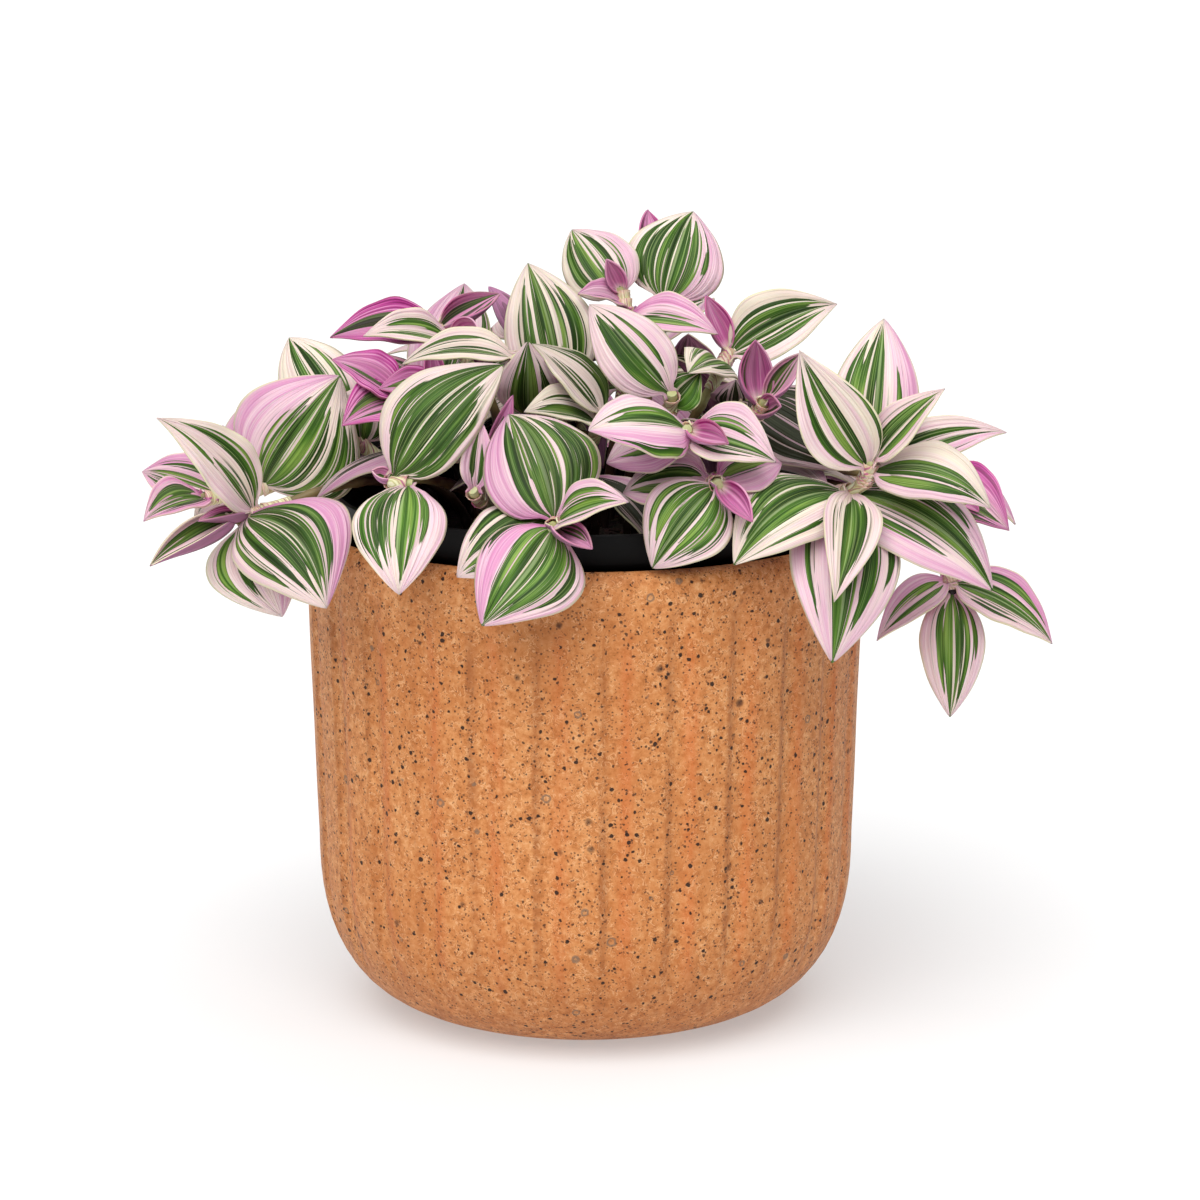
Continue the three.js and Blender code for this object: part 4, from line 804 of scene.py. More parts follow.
        leafAt("young", 1, tipPixel=(803, 352), y=-48, width=7, face=(-110, 30),
            pink=(0.6, 0.5, 0.6), magenta=0.6, bands=[(0.3, 0.2, 0.1, 0.9)]),
        leafAt("young", 0.93, tipPixel=(790, 392), y=-56, width=7, face=(-90, 30),
            pink=(0.9, 0.9, 0.9), magenta=0.7, bands=[(0, 0.15, 0.1, 0.9)]),
    ]},
    {"name": "right_front", "endPixel": (872, 463), "y": -60, "grow": (-60, 75), "leaves": [
        leafAt("boat", 0.97, tipPixel=(800, 350), y=-62, width=18, face=(-100, 20), bow=0.04,
            pink=(0.35, 0.25, 0.2), bands=[(0.52, 0.07, 0.05, 0.97), (-0.02, 0.19, 0, 0.96),
            (-0.93, 0.03, 0.1, 0.7)]),
        leafAt("dome", 0.93, tipPixel=(885, 318), y=-42, width=21, face=(-90, 20),
            pink=(0.15, 0.15, 0.8), bands=[(0.6, 0.13, 0.1, 0.85), (0.25, 0.12, 0, 0.97),
            (-0.05, 0.07, 0.1, 0.95), (-0.5, 0.04, 0.3, 0.72)]),
        leafAt("dome", 0.95, tipPixel=(990, 505), y=-72, width=17, face=(-85, 40), bow=0.13,
            pink=(0.1, 0.1, 0.4), bands=[(-0.12, 0.22, 0, 0.97), (-0.6, 0.1, 0.1, 0.9)]),
        leafAt("boat", 1, tipPixel=(945, 388), y=-66, width=11, face=(-100, 40),
            pink=(0.3, 0.1, 0.3), magenta=0.15, bands=[(0.2, 0.2, 0.1, 0.95), (-0.4, 0.15, 0.1, 0.9)]),
        leafAt("boat", 0.91, tipPixel=(1008, 430), y=-46, width=13, face=(-80, 45), bow=0.05,
            pink=(0.35, 0.35, 0.7), bands=[(0.3, 0.1, 0.1, 0.85), (-0.15, 0.14, 0.05, 0.9),
            (-0.7, 0.05, 0.3, 0.8)]),
        leafAt("dome", 0.77, tipPixel=(735, 562), y=-76, width=22, face=(-95, 40), bow=-0.08,
            pink=(0.15, 0.05, 0.2), bands=[(-0.68, 0.07, 0.05, 0.72), (-0.42, 0.1, 0, 0.85),
            (-0.2, 0.05, 0.02, 0.9), (0.1, 0.19, 0, 1), (0.72, 0.02, 0.3, 0.88)]),
        leafAt("dome", 0.76, tipPixel=(993, 590), y=-68, width=23, face=(-80, 40), bow=0.08,
            pink=(0.7, 0.2, 0.7), bands=[(0.6, 0.1, 0, 0.72), (0.36, 0.04, 0.1, 0.8), (0.02, 0.21, 0, 1),
            (-0.55, 0.06, 0.1, 0.72)]),
        leafAt("dome", 0.74, tipPixel=(833, 660), y=-78, width=26, face=(-88, 25), bow=0.04,
            pink=(0.5, 0.4, 0.6), bands=[(-0.02, 0.2, 0.1, 1), (0.46, 0.11, 0.05, 0.85),
            (0.8, 0.04, 0.2, 0.65), (-0.68, 0.06, 0.2, 0.75)]),
        leafAt("boat", 0.8, tipPixel=(835, 600), y=-86, width=14, face=(-85, 30), bow=0.03,
            pink=(0.35, 0.1, 0.3), bands=[(0.1, 0.3, 0.1, 0.95), (-0.6, 0.06, 0.2, 0.7)]),
    ]},
    {"name": "dark_right", "endPixel": (748, 398), "y": -26, "grow": (-50, 20), "leaves": [
        leafAt("dome", 1, tipPixel=(850, 468), y=-40, width=23, face=(-90, 40),
            pink=(0.5, 0.4, 0.5), bands=[(0, 0.5, 0, 1), (0.7, 0.1, 0, 0.9), (-0.7, 0.1, 0, 0.9)]),
        leafAt("dome", 0.9, tipPixel=(736, 380), y=-30, width=12, face=(-90, 20),
            pink=(0.6, 0.4, 0.6), bands=[(0, 0.2, 0, 1), (0.5, 0.1, 0.1, 0.8)]),
    ]},
    {"name": "right_edge", "endPixel": (936, 478), "y": -10, "grow": (-10, 10), "leaves": [
        leafAt("boat", 0.97, tipPixel=(1010, 530), y=-18, width=17, face=(-80, 40),
            pink=(0.9, 0.5, 0.8), magenta=0.8, bands=[(-0.2, 0.2, 0, 0.9), (-0.7, 0.08, 0.1, 0.9)]),
        leafAt("young", 1, tipPixel=(975, 520), y=-20, width=8, face=(-90, 40),
            pink=(1, 1, 1), magenta=0.95, bands=[]),
    ]},
    {"name": "right_hanging", "endPixel": (952, 590), "y": -34, "grow": (-60, -75), "leaves": [
        leafAt("dome", 1, tipPixel=(950, 717), y=-44, width=16, face=(-85, 15),
            pink=(0.45, 0.2, 0.4), bands=[(-0.05, 0.2, 0, 1), (0.38, 0.08, 0.05, 0.92),
            (-0.45, 0.07, 0.1, 0.85), (0.68, 0.04, 0.1, 0.6)]),
        leafAt("boat", 0.97, tipPixel=(1053, 643), y=-40, width=15, face=(-80, 40), bow=0.05,
            pink=(1, 0.2, 0.4), magenta=0.15, bands=[(0.62, 0.09, 0.1, 0.9), (0.15, 0.15, 0, 1),
            (-0.2, 0.09, 0, 0.95), (-0.62, 0.05, 0.2, 0.7)]),
        leafAt("boat", 0.96, tipPixel=(877, 640), y=-44, width=10, face=(-100, 30), bow=-0.05,
            pink=(0.5, 0.5, 0.8), magenta=0.1, bands=[(0.35, 0.12, 0.1, 0.9), (-0.25, 0.12, 0.1, 0.9)]),
    ]},
]
backRings = [
    {"name": "back_outer", "count": 7, "first": 10, "last": 170, "reach": 80, "height": 134,
     "grow": -5, "leaves": 4},
    {"name": "back_inner", "count": 4, "first": 32, "last": 148, "reach": 48, "height": 152,
     "grow": 30, "leaves": 4},
    {"name": "back_crown", "count": 2, "first": 60, "last": 125, "reach": 26, "height": 162,
     "grow": 55, "leaves": 3},
    {"name": "low", "count": 6, "first": -150, "last": 150, "reach": 40, "height": 139,
     "grow": 0, "leaves": 3, "rootShare": 0.8},
]
rooting = {"share": 0.5, "reach": 46}
backRule = {  # what is drawn for the rings' shoots, in degrees, millimetres and shares
    "seed": 5150, "multiplier": 16807, "modulus": 2147483647,
    "heading": (-4, 4), "reach": (0.93, 1.07), "height": (-5, 5),
    "spacing": 0.065, "fan": 25, "fanStep": 28, "domes": 0.65, "facing": 62, "upFacing": 45,
    "open": {"turn": (-10, 10), "rise": (-40, 0), "length": (31, 40), "width": (19, 25),
             "bow": (-0.06, 0.06)},
    "upright": {"turn": (140, 220), "rise": (40, 60), "length": (26, 32), "width": (14, 16)},
    "young": {"turn": (-30, 30), "rise": (40, 65), "length": (14, 20), "width": (7, 9)},
}
bendSearch = {  # the turns, in degrees, and sizes at which a solid's leaf may have come clear
    "placed": (5, 10, 16, 23), "byRule": (8, 16, 26, 38, 52), "ways": 8, "sizes": (1, 0.9, 0.8),
    "stations": (0.15, 0.35, 0.58, 0.81), "narrow": 10.5, "narrowStations": (0.2, 0.5, 0.8),
    "near": 0.05, "enough": 3,
}


def direction(heading, rise):
    h, r = math.radians(heading), math.radians(rise)
    return Vector((math.cos(h) * math.cos(r), math.sin(h) * math.cos(r), math.sin(r)))


def rootShareFor(reach):  # how far out a shoot roots, as a share of its tip's distance
    return min(rooting["share"], rooting["reach"] / reach)


def readShoot(shoot):  # a shoot of the viewer's side, its leaves worked out from their pixels
    tip = pointAt(shoot["endPixel"], shoot["y"])
    share = rootShareFor(math.hypot(tip.x, tip.y))
    found = {"name": shoot["name"], "tip": tip, "root": (tip.x * share, tip.y * share),
             "grow": shoot["grow"], "leaves": []}
    for leaf in shoot["leaves"]:
        reach = pointAt(leaf["tipPixel"], leaf["y"]) - stemPoint(found, leaf["at"])
        found["leaves"].append({**leaf, "length": reach.length,
                                "heading": math.degrees(math.atan2(reach.y, reach.x)),
                                "rise": math.degrees(math.asin(reach.z / reach.length))})
    return found


def makeBackShoots():  # the same draws, in the same order, as the solids were laid out with
    rule = backRule
    state = [rule["seed"]]

    def draw(low, high):
        state[0] = (state[0] * rule["multiplier"]) % rule["modulus"]
        return low + (high - low) * (state[0] / rule["modulus"])

    def standingLeaf(form, limits, at, heading):
        return {"form": form, "at": at, "heading": heading + draw(*limits["turn"]),
                "rise": draw(*limits["rise"]), "length": draw(*limits["length"]),
                "width": draw(*limits["width"]), "face": (heading, rule["upFacing"]), "bow": 0}

    shoots = []
    for ring in backRings:
        for k in range(ring["count"]):
            heading = ring["first"] + (ring["last"] - ring["first"]) * k / (ring["count"] - 1)
            heading += draw(*rule["heading"])
            reach = ring["reach"] * draw(*rule["reach"])
            tip = (reach * math.cos(math.radians(heading)), reach * math.sin(math.radians(heading)),
                   ring["height"] + draw(*rule["height"]))
            share = ring.get("rootShare", rootShareFor(reach))
            leaves = []
            for j in range(ring["leaves"]):
                limits = rule["open"]
                turn = heading + (1 if j % 2 else -1) * (rule["fan"] + rule["fanStep"] * j)
                turn += draw(*limits["turn"])
                leaves.append({"form": "dome" if draw(0, 1) < rule["domes"] else "boat",
                               "at": 1 - rule["spacing"] * j, "heading": turn,
                               "rise": draw(*limits["rise"]), "length": draw(*limits["length"]),
                               "width": draw(*limits["width"]), "face": (turn, rule["facing"]),
                               "bow": draw(*limits["bow"])})
            if "rootShare" not in ring:
                place = 1 - rule["spacing"] * ring["leaves"]
                leaves.append(standingLeaf("boat", rule["upright"], place, heading))
                leaves.append(standingLeaf("young", rule["young"], 1, heading))
            shoots.append({"name": f"{ring['name']}_{k + 1}", "tip": tip, "leaves": leaves,
                           "root": (tip[0] * share, tip[1] * share),
                           "grow": (heading, ring["grow"]), "byRule": True})
    return shoots


def stemPoint(shoot, u):
    root = Vector((*shoot["root"], stem["baseHeight"]))
    tip = Vector(shoot["tip"])
    length = (tip - root).length
    share = stem["risingOver"] if math.hypot(tip.x, tip.y) > stem["rimReach"] else stem["rising"]
    rising = root + Vector((0, 0, share * length))
    ending = tip - direction(*shoot["grow"]) * stem["ending"] * length
    v = 1 - u
    return root * v ** 3 + rising * 3 * v * v * u + ending * 3 * v * u * u + tip * u ** 3


def ovate(s, taper):
    widest = blade["roundness"] / (blade["roundness"] + taper)
    share = max(0, (s - blade["neck"]) / (1 - blade["neck"]))
    return (share / widest) ** blade["roundness"] * ((1 - share) / (1 - widest)) ** taper


def halfWidthAt(leaf, s):
    taper = leaf["form"]["taper"]
    return max(leaf["width"] / 2 * ovate(s, taper), blade["rootHalfWidth"] * (1 - s))


def leafFrame(shoot, leaf, turn, lift, size):
    along = direction(leaf["heading"] + turn, leaf["rise"] + lift)
    up = direction(*leaf["face"])
    up = (up - along * up.dot(along)).normalized()
    return {"base": stemPoint(shoot, leaf["at"]), "along": along, "up": up, "across": up.cross(along),
            "length": leaf["length"] * size, "width": leaf["width"] * size, "bow": leaf["bow"],
            "form": leafForms[leaf["form"]], "kind": leaf["form"]}


def outlinePoint(leaf, s, t):  # a point of the margin or tip, where the solid has one
    form, swell, half = leaf["form"], 4 * s * (1 - s), halfWidthAt(leaf, s)
    lift = form["arch"] * leaf["length"] * swell
    lift += half * (form["cup"] * t * t + form["fold"] * abs(t))
    return (leaf["base"] + leaf["along"] * leaf["length"] * s + leaf["up"] * lift
            + leaf["across"] * (half * t + leaf["bow"] * leaf["length"] * swell))


def bendVariations(steps):
    yield 0, 0, 1
    for size in bendSearch["sizes"]:
        for step in steps:
            for k in range(bendSearch["ways"]):
                angle = 2 * math.pi * k / bendSearch["ways"]
                yield step * math.cos(angle), step * math.sin(angle), size


def findLeaf(shoot, sketch, corners):  # how the leaf was bent clear, read off its solid's corners
    steps = bendSearch["byRule" if shoot.get("byRule") else "placed"]
    narrow = sketch["width"] < bendSearch["narrow"]
    stations = bendSearch["narrowStations" if narrow else "stations"]
    best, bestCount = None, 0
    for turn, lift, size in bendVariations(steps):
        leaf = leafFrame(shoot, sketch, turn, lift, size)
        spots = [outlinePoint(leaf, s, t) for s in stations for t in (-1, 1)]
        spots.append(outlinePoint(leaf, 1, 0))
        count = sum(corners.find(spot * mm)[2] < bendSearch["near"] * mm for spot in spots)
        if count > bestCount:
            best, bestCount = leaf, count
    return best if bestCount >= bendSearch["enough"] else None


def drawBands(draw):  # green bands of a leaf by rule: a broad one and a few narrow ones beside it
    rule = bandRule
    centre = draw.uniform(*rule["centre"])
    bands = [(centre, draw.uniform(*rule["broad"]), 0.0, draw.uniform(*rule["broadEnd"]))]
    bare = draw.choice((-1, 0, 0, 1))
    for side in (-1, 1):
        place = centre + side * (bands[0][1] + draw.uniform(*rule["firstGap"]))
        while abs(place) < rule["furthest"]:
            half = draw.uniform(*rule["narrow"])
            if side != bare and draw.random() < rule["shown"]:
                bands.append((place + side * half, half, draw.uniform(*rule["narrowStart"]),
                              draw.uniform(*rule["narrowEnd"])))
            place += side * (2 * half + draw.uniform(*rule["gap"]))
    blush = [draw.uniform(*rule["blush"]) for k in range(3)]
    if bare:
        blush[1 - bare] = draw.uniform(*rule["bareBlush"])
    return blush, bands


def bandDistance(bands, s, t, wave):
    best = -1.0
    for centre, half, start, end in bands:
        ends = 1.0
        if start > 0.01:
            ends = min(ends, (s - start) / blade["bandStart"])
        if end < 0.99:
            ends = min(ends, (end - s) / blade["bandEnd"])
        grown = half * blade["bandGain"] + blade["bandExtra"]
        reach = grown * (ends ** blade["bandPoint"] if ends > 0 else max(-1.0, 3 * ends))
        best = max(best, reach - abs(t - centre - wave * (0.5 + 0.5 * abs(centre))))
    return best


def makeLeafSheet():  # one flat sheet, -1 to 1 across and 0 to 1 along, its far end drawn to a tip
    deselectAll()
    bpy.ops.mesh.primitive_grid_add(
        x_subdivisions=blade["columns"], y_subdivisions=blade["rows"], size=2)
    sheet = bpy.context.object
    for vertex in sheet.data.vertices:
        s = (vertex.co.y + 1) / 2
        s = (1 - blade["rowEasing"]) * s + blade["rowEasing"] * (1 - math.cos(math.pi * s)) / 2
        t = vertex.co.x
        vertex.co = (t - blade["columnEasing"] * math.sin(math.pi * t) / math.pi, s, 0)
    bpy.ops.object.mode_set(mode="EDIT")
    bpy.ops.mesh.select_all(action="DESELECT")
    bpy.ops.object.mode_set(mode="OBJECT")
    for vertex in sheet.data.vertices:
        vertex.select = vertex.co.y > 0.9999
    bpy.ops.object.mode_set(mode="EDIT")
    bpy.ops.mesh.merge(type="CENTER")
    bpy.ops.object.mode_set(mode="OBJECT")
    return sheet


def rolledSection(t, half, roll):  # across and height of a leaf half rolled up round its midrib
    radius = half / roll
    return radius * math.sin(roll * t), radius * (1 - math.cos(roll * t))


def thicken(piece, thickness, innerSlot=0):  # innerSlot: how many slots on the far side's material is
    pick(piece)
    wall = piece.modifiers.new("wall", "SOLIDIFY")
    wall.thickness = thickness * mm
    wall.offset = 0
    wall.material_offset = innerSlot
    wall.material_offset_rim = 0
    bpy.ops.object.modifier_apply(modifier=wall.name)


def givePlantMaterials(piece):
    piece.data.materials.clear()
    for material in plantMaterials:
        piece.data.materials.append(material)


def layFlat(piece, spots):  # where each point lies on its material, in millimetres
    layer = piece.data.uv_layers[0] if piece.data.uv_layers else piece.data.uv_layers.new()
    layer.name = "leaf"
    for loop, corner in zip(piece.data.loops, layer.data):
        corner.uv = spots[loop.vertex_index]


def shapeLeaf(sheet, leaf, look, draw):
    piece = sheet.copy()
    piece.data = sheet.data.copy()
    bpy.context.scene.collection.objects.link(piece)
    blush, flush, bands, shadeAndTone = look
    form, length = leaf["form"], leaf["length"]
    phase, waves = draw.uniform(0, fullTurn), draw.uniform(*blade["rippleWaves"])
    wavePhase, lean = draw.uniform(0, fullTurn), draw.uniform(-blade["lean"], blade["lean"])
    droop = draw.uniform(*blade["droop"])
    twist = draw.uniform(-rolledLeaf["twist"], rolledLeaf["twist"])
    isRolled = leaf["kind"] in rolledLeaf["kinds"]
    foot = blade["footShare"]
    marks = {key: [] for key in ("band", "blush", "flush", "side", "shade_and_tone")}
    spots = []
    for vertex in piece.data.vertices:
        t, s = -vertex.co.x, vertex.co.y
        out, swell, half = abs(t), 4 * s * (1 - s), halfWidthAt(leaf, s)
        if isRolled:
            roll = rolledLeaf["roll"] - rolledLeaf["unrolling"] * s
            across, lift = rolledSection(t, half * (1 + rolledLeaf["fullness"] * roll), roll)
            lift -= rolledLeaf["sink"] * half  # so that its margins stay where the solid has them
            turn = twist * s
            across, lift = (across * math.cos(turn) - lift * math.sin(turn),
                            across * math.sin(turn) + lift * math.cos(turn))
        else:
            fold = math.sqrt(t * t + blade["crease"] ** 2) - blade["crease"]
            across = half * t
            lift = half * (form["cup"] * t * t + form["fold"] * fold
                           + blade["bulge"] * math.sin(math.pi * out))
            lift += (blade["ripple"] * out ** 3 * min(1, swell)
                     * math.sin(waves * fullTurn * s + phase + blade["rippleShift"] * t))
        lift -= blade["grooveDepth"] * math.exp(-(t / blade["grooveWidth"]) ** 2) * (1 - s)
        if not isRolled:  # shallow pleats beside the groove
            lift += blade["pleat"] * math.cos(blade["pleats"] * out) * min(1, swell) * (1 - 0.5 * out)
        if s < foot:
            clasp = (1 - s / foot) ** 1.5
            reach = blade["footHalfWidth"] * (0.55 + 0.45 * clasp)
            across += math.copysign(max(0, reach - half), t) * out
            lift += half * t * t * blade["footCup"] * clasp
        sway = lean * half * math.sin(math.pi * s) + leaf["bow"] * length * swell
        end = max(0, (s - blade["droopFrom"]) / (1 - blade["droopFrom"]))
        rise = form["arch"] * length * swell - droop * length * end ** 2
        vertex.co = mm * (leaf["base"] + leaf["along"] * length * s + leaf["across"] * (across + sway)
                          + leaf["up"] * (rise + lift))
        wave = sum(far * math.sin(often * s + times * wavePhase)
                   for far, often, times in blade["bandWaver"])
        marks["band"].append(bandDistance(bands, s, t, wave) * leaf["width"] / 2)
        ends = blush[0] if t > 0 else blush[2]
        pink = blush[1] + (ends - blush[1]) * min(1, out / blushing["reach"]) ** blushing["curve"]
        glow = flush * (blushing["glowMiddle"] + blushing["glowMargin"] * out ** blushing["glowCurve"]
                        + blushing["glowFoot"] * (1 - s))
        if isRolled:
            pink *= smooth((s - blushing["creamFoot"][0]) / blushing["creamFoot"][1])
            glow *= smooth((s - blushing["paleFoot"][0]) / blushing["paleFoot"][1])
        else:
            nearFoot = max(0, 1 - s / blushing["magentaReach"])
            glow += blushing["magentaFoot"] * nearFoot * (blushing["magentaLeast"] + pink)
        marks["blush"].append(pink)
        marks["flush"].append(min(1, glow))
        marks["side"].append(t)
        marks["shade_and_tone"].append(shadeAndTone)
        spots.append((t * leaf["width"] / 2, s * length))
    for name, values in marks.items():
        markPoints(piece, name, values)
    shift = draw.uniform(0, 400)  # so that no two leaves are streaked alike
    layFlat(piece, [(across + shift, along) for across, along in spots])
    givePlantMaterials(piece)
    thicken(piece, blade["thickness"], innerSlot=1)
    bpy.ops.object.shade_smooth()
    return piece


def makeLeafSkin(name, under):
    # living leaf skin: waxy and satin, banded green over cream and pink, with hairline veins;
    # the underside is flushed purple, and so are rolled young leaves
    material, tree, shader = newMaterial(name, {
        "Roughness": 0.55 if under else 0.45, "IOR": 1.42, "Specular IOR Level": 0.22,
        "Subsurface Weight": 0.1, "Subsurface Scale": 0.001, "Subsurface Radius": (1.0, 0.55, 0.35)})
    band, blush, flush, side, shade_and_tone = (
        addNode(tree, "Attribute", out="Fac", attribute_name=key)
        for key in ("band", "blush", "flush", "side", "shade_and_tone"))
    mark = addNode(tree, "UVMap", uv_map="leaf")
    soft = {"interpolation_type": "SMOOTHSTEP"}
    # noise drawn out along the leaf: size across and along in mm, then a shift of its own
    streaks = {}
    for key, across, along, shift in (
            ("fine", 0.5, 22, 0), ("broad", 2.2, 26, 31), ("vein", 0.24, 40, 77),
            ("line", 0.95, 60, 53), ("pleat", 0.9, 90, 19)):
        drawn = addNode(tree, "Mapping", {"Vector": mark, "Scale": (1 / across, 1 / along, 1),
                                          "Location": (shift, shift, 0)})
        streaks[key] = addNode(tree, "TexNoise", {"Vector": drawn, "Scale": 1, "Detail": 1},
                               noise_dimensions="2D")

    # where it is green: in the bands, less a few bare hairlines, and along thin lines beside them
    ragged = addNode(tree, "MapRange", {0: streaks["fine"], 1: 0.2, 2: 0.8, 3: -0.1, 4: 0.1})
    edge = addNode(tree, "Math", {0: band, 1: ragged}, operation="ADD")
    inBand = addNode(tree, "MapRange", {0: edge, 1: -0.06, 2: 0.06}, **soft)
    bareLine = addNode(tree, "MapRange", {0: streaks["line"], 1: 0.655, 2: 0.67, 4: 0.8}, **soft)
    inBand = addNode(tree, "Math", {0: inBand, 1: bareLine}, operation="SUBTRACT", use_clamp=True)
    greenLine = addNode(tree, "MapRange", {0: streaks["line"], 1: 0.355, 2: 0.34}, **soft)
    nearBand = addNode(tree, "MapRange", {0: edge, 1: -1.6, 2: -0.5}, **soft)
    greenLine = addNode(tree, "Math", {0: greenLine, 1: nearBand}, operation="MULTIPLY")
    isGreen = addNode(tree, "Math", {0: inBand, 1: greenLine}, operation="MAXIMUM")

    if under:
        purple = addNode(tree, "ValToRGB", {"Fac": streaks["broad"]}, stops=[
            (0.3, "#6a2858"), (0.5, "#984d86"), (0.7, "#ba7bab")])
        through = addNode(tree, "Mix", {0: isGreen, 6: "#d9a5bf", 7: "#7c7466"}, **asColour)
        skin = addNode(tree, "Mix", {0: 0.6, 6: through, 7: purple}, **asColour)
    else:  # each colour is laid on the one before it: by how much, then which
        raised = addNode(tree, "MapRange", {0: streaks["vein"], 1: 0.5, 2: 0.75}, **soft)
        sunken = addNode(tree, "MapRange", {0: streaks["vein"], 1: 0.5, 2: 0.28}, **soft)
        green = addNode(tree, "ValToRGB", {"Fac": streaks["broad"]}, stops=[
            (0.28, "#213b0a"), (0.45, "#355b16"), (0.58, "#4e7a24"), (0.74, "#86a748")])
        light = addNode(tree, "Math", {0: raised, 1: 0.45}, operation="MULTIPLY")
        dark = addNode(tree, "Math", {0: sunken, 1: 0.55}, operation="MULTIPLY")
        border = addNode(tree, "MapRange", {0: edge, 1: 0.5, 2: 0.05, 4: 0.4}, **soft)
        across = addNode(tree, "Math", {0: side}, operation="ABSOLUTE")
        midrib = addNode(tree, "MapRange", {0: across, 1: 0.05, 2: 0.015, 4: 0.45}, **soft)
        wine = addNode(tree, "Math", {0: flush, 1: 0.5}, operation="MULTIPLY")
        # among these, painted shade deep in the plant, with a random tone, darkens the green
        for amount, colour in ((light, "#a8c074"), (dark, "#1b3409"), (border, "#1b3a10"),
                               (midrib, "#b4c78f"), (shade_and_tone, "#18260c"), (wine, "#552a4a")):
            green = addNode(tree, "Mix", {0: amount, 6: green, 7: colour}, **asColour)

        rosy = addNode(tree, "MapRange", {0: streaks["broad"], 1: 0.25, 2: 0.75, 3: -0.25, 4: 0.25})
        rosy = addNode(tree, "Math", {0: blush, 1: rosy}, operation="ADD", use_clamp=True)
        pale = addNode(tree, "ValToRGB", {"Fac": rosy}, stops=[
            (0.0, "#e9dcc6"), (0.3, "#ecd5cf"), (0.65, "#e8c0ce"), (1.0, "#d694ba")])
        light = addNode(tree, "Math", {0: raised, 1: 0.4}, operation="MULTIPLY")
        dark = addNode(tree, "Math", {0: sunken, 1: 0.3}, operation="MULTIPLY")
        magenta = addNode(tree, "ValToRGB", {"Fac": streaks["fine"]}, stops=[
            (0.3, "#84175f"), (0.45, "#b22c86"), (0.58, "#cb59a4"), (0.75, "#e8a4cb")])
        for amount, colour in ((light, "#f5ece4"), (dark, "#c18aa5"), (flush, magenta)):
            pale = addNode(tree, "Mix", {0: amount, 6: pale, 7: colour}, **asColour)

        skin = addNode(tree, "Mix", {0: isGreen, 6: pale, 7: green}, **asColour)
        margin = addNode(tree, "MapRange", {0: across, 1: 0.95, 2: 0.985}, **soft)
        bare = addNode(tree, "MapRange", {0: flush, 1: 0.2, 2: 0.6, 3: 0.75, 4: 0.15})
        margin = addNode(tree, "Math", {0: margin, 1: bare}, operation="MULTIPLY")
        skin = addNode(tree, "Mix", {0: margin, 6: skin, 7: "#dfdbb0"}, **asColour)

    # painted shade deep in the plant, with a random tone, darkens all of the skin
    shadeAndTone = addNode(tree, "Math", {0: shade_and_tone, 1: 0.45}, operation="MULTIPLY")
    skin = addNode(tree, "Mix", {0: shadeAndTone, 6: skin, 7: "#2b2018"}, **asColour)
    tree.links.new(skin, shader.inputs["Base Color"])
    ribs = addNode(tree, "Bump", {"Height": streaks["pleat"], "Strength": 0.7, "Distance": 0.0006})
    veins = addNode(tree, "Bump", {"Height": streaks["vein"], "Strength": 0.25, "Distance": 0.0002,
                                   "Normal": ribs})
    tree.links.new(veins, shader.inputs["Normal"])
    return material


def makeStemSkin():
    # succulent stem: pale green and glossy at its young end, wine brown where it is old; low in the
    # plant that brown is also painted shade
    material, tree, shader = newMaterial("succulent green stem", {
        "Roughness": 0.4, "IOR": 1.42, "Subsurface Weight": 0.1, "Subsurface Scale": 0.001})
    place = addNode(tree, "TexCoord", out="Object")
    # blotches of 7 mm
    blotch = addNode(tree, "TexNoise", {"Vector": place, "Scale": 150, "Detail": 3})
    blotch = addNode(tree, "MapRange", {0: blotch, 1: 0.2, 2: 0.8, 3: -0.2, 4: 0.2})
    ageAndShade = addNode(tree, "Attribute", out="Fac", attribute_name="blush")
    fresh = addNode(tree, "Math", {0: ageAndShade, 1: blotch}, operation="ADD")
    tint = addNode(tree, "ValToRGB", {"Fac": fresh}, stops=[
        (0.1, "#1c110c"), (0.4, "#452e20"), (0.65, "#7c6b42"), (0.82, "#a3a76b"), (1.0, "#c3c492")])
    tree.links.new(tint, shader.inputs["Base Color"])
    return material


def makeSheathSkin():
    # thin sheath round a joint: pale green to cream, streaked wine red and edged with magenta
    material, tree, shader = newMaterial("thin leaf sheath", {
        "Roughness": 0.45, "IOR": 1.42, "Subsurface Weight": 0.15, "Subsurface Scale": 0.001})
    mouth = addNode(tree, "Attribute", out="Fac", attribute_name="side")
    mark = addNode(tree, "UVMap", uv_map="leaf")
    # veins 0.3 mm wide and 10 mm long
    drawn = addNode(tree, "Mapping", {"Vector": mark, "Scale": (3, 0.1, 1)})
    stripe = addNode(tree, "TexNoise", {"Vector": drawn, "Scale": 1, "Detail": 1},
                     noise_dimensions="2D")
    tint = addNode(tree, "ValToRGB", {"Fac": stripe}, stops=[
        (0.28, "#a3577a"), (0.4, "#c2b27e"), (0.52, "#d0d29c"), (0.68, "#eae1c2")])
    rim = addNode(tree, "MapRange", {0: mouth, 1: 0.7, 2: 1.0, 4: 0.4})
    tint = addNode(tree, "Mix", {0: rim, 6: tint, 7: "#c0588e"}, **asColour)
    tree.links.new(tint, shader.inputs["Base Color"])
    return material


def makeTube(spots, radii, sides, capped):  # a round tube through the spots, in millimetres
    deselectAll()
    bpy.ops.curve.primitive_bezier_curve_add()
    tube = bpy.context.object
    tube.data.splines.clear()
    path = tube.data.splines.new("POLY")
    path.points.add(len(spots) - 1)
    for point, spot, radius in zip(path.points, spots, radii):
        point.co = (*(spot * mm), 1)
        point.radius = radius
    tube.data.dimensions = "3D"
    tube.data.bevel_depth = mm
    tube.data.bevel_resolution = sides
    tube.data.use_fill_caps = capped
    pick(tube)
    bpy.ops.object.convert(target="MESH")
    tube = bpy.context.object
    givePlantMaterials(tube)
    bpy.ops.object.shade_smooth()
    return tube


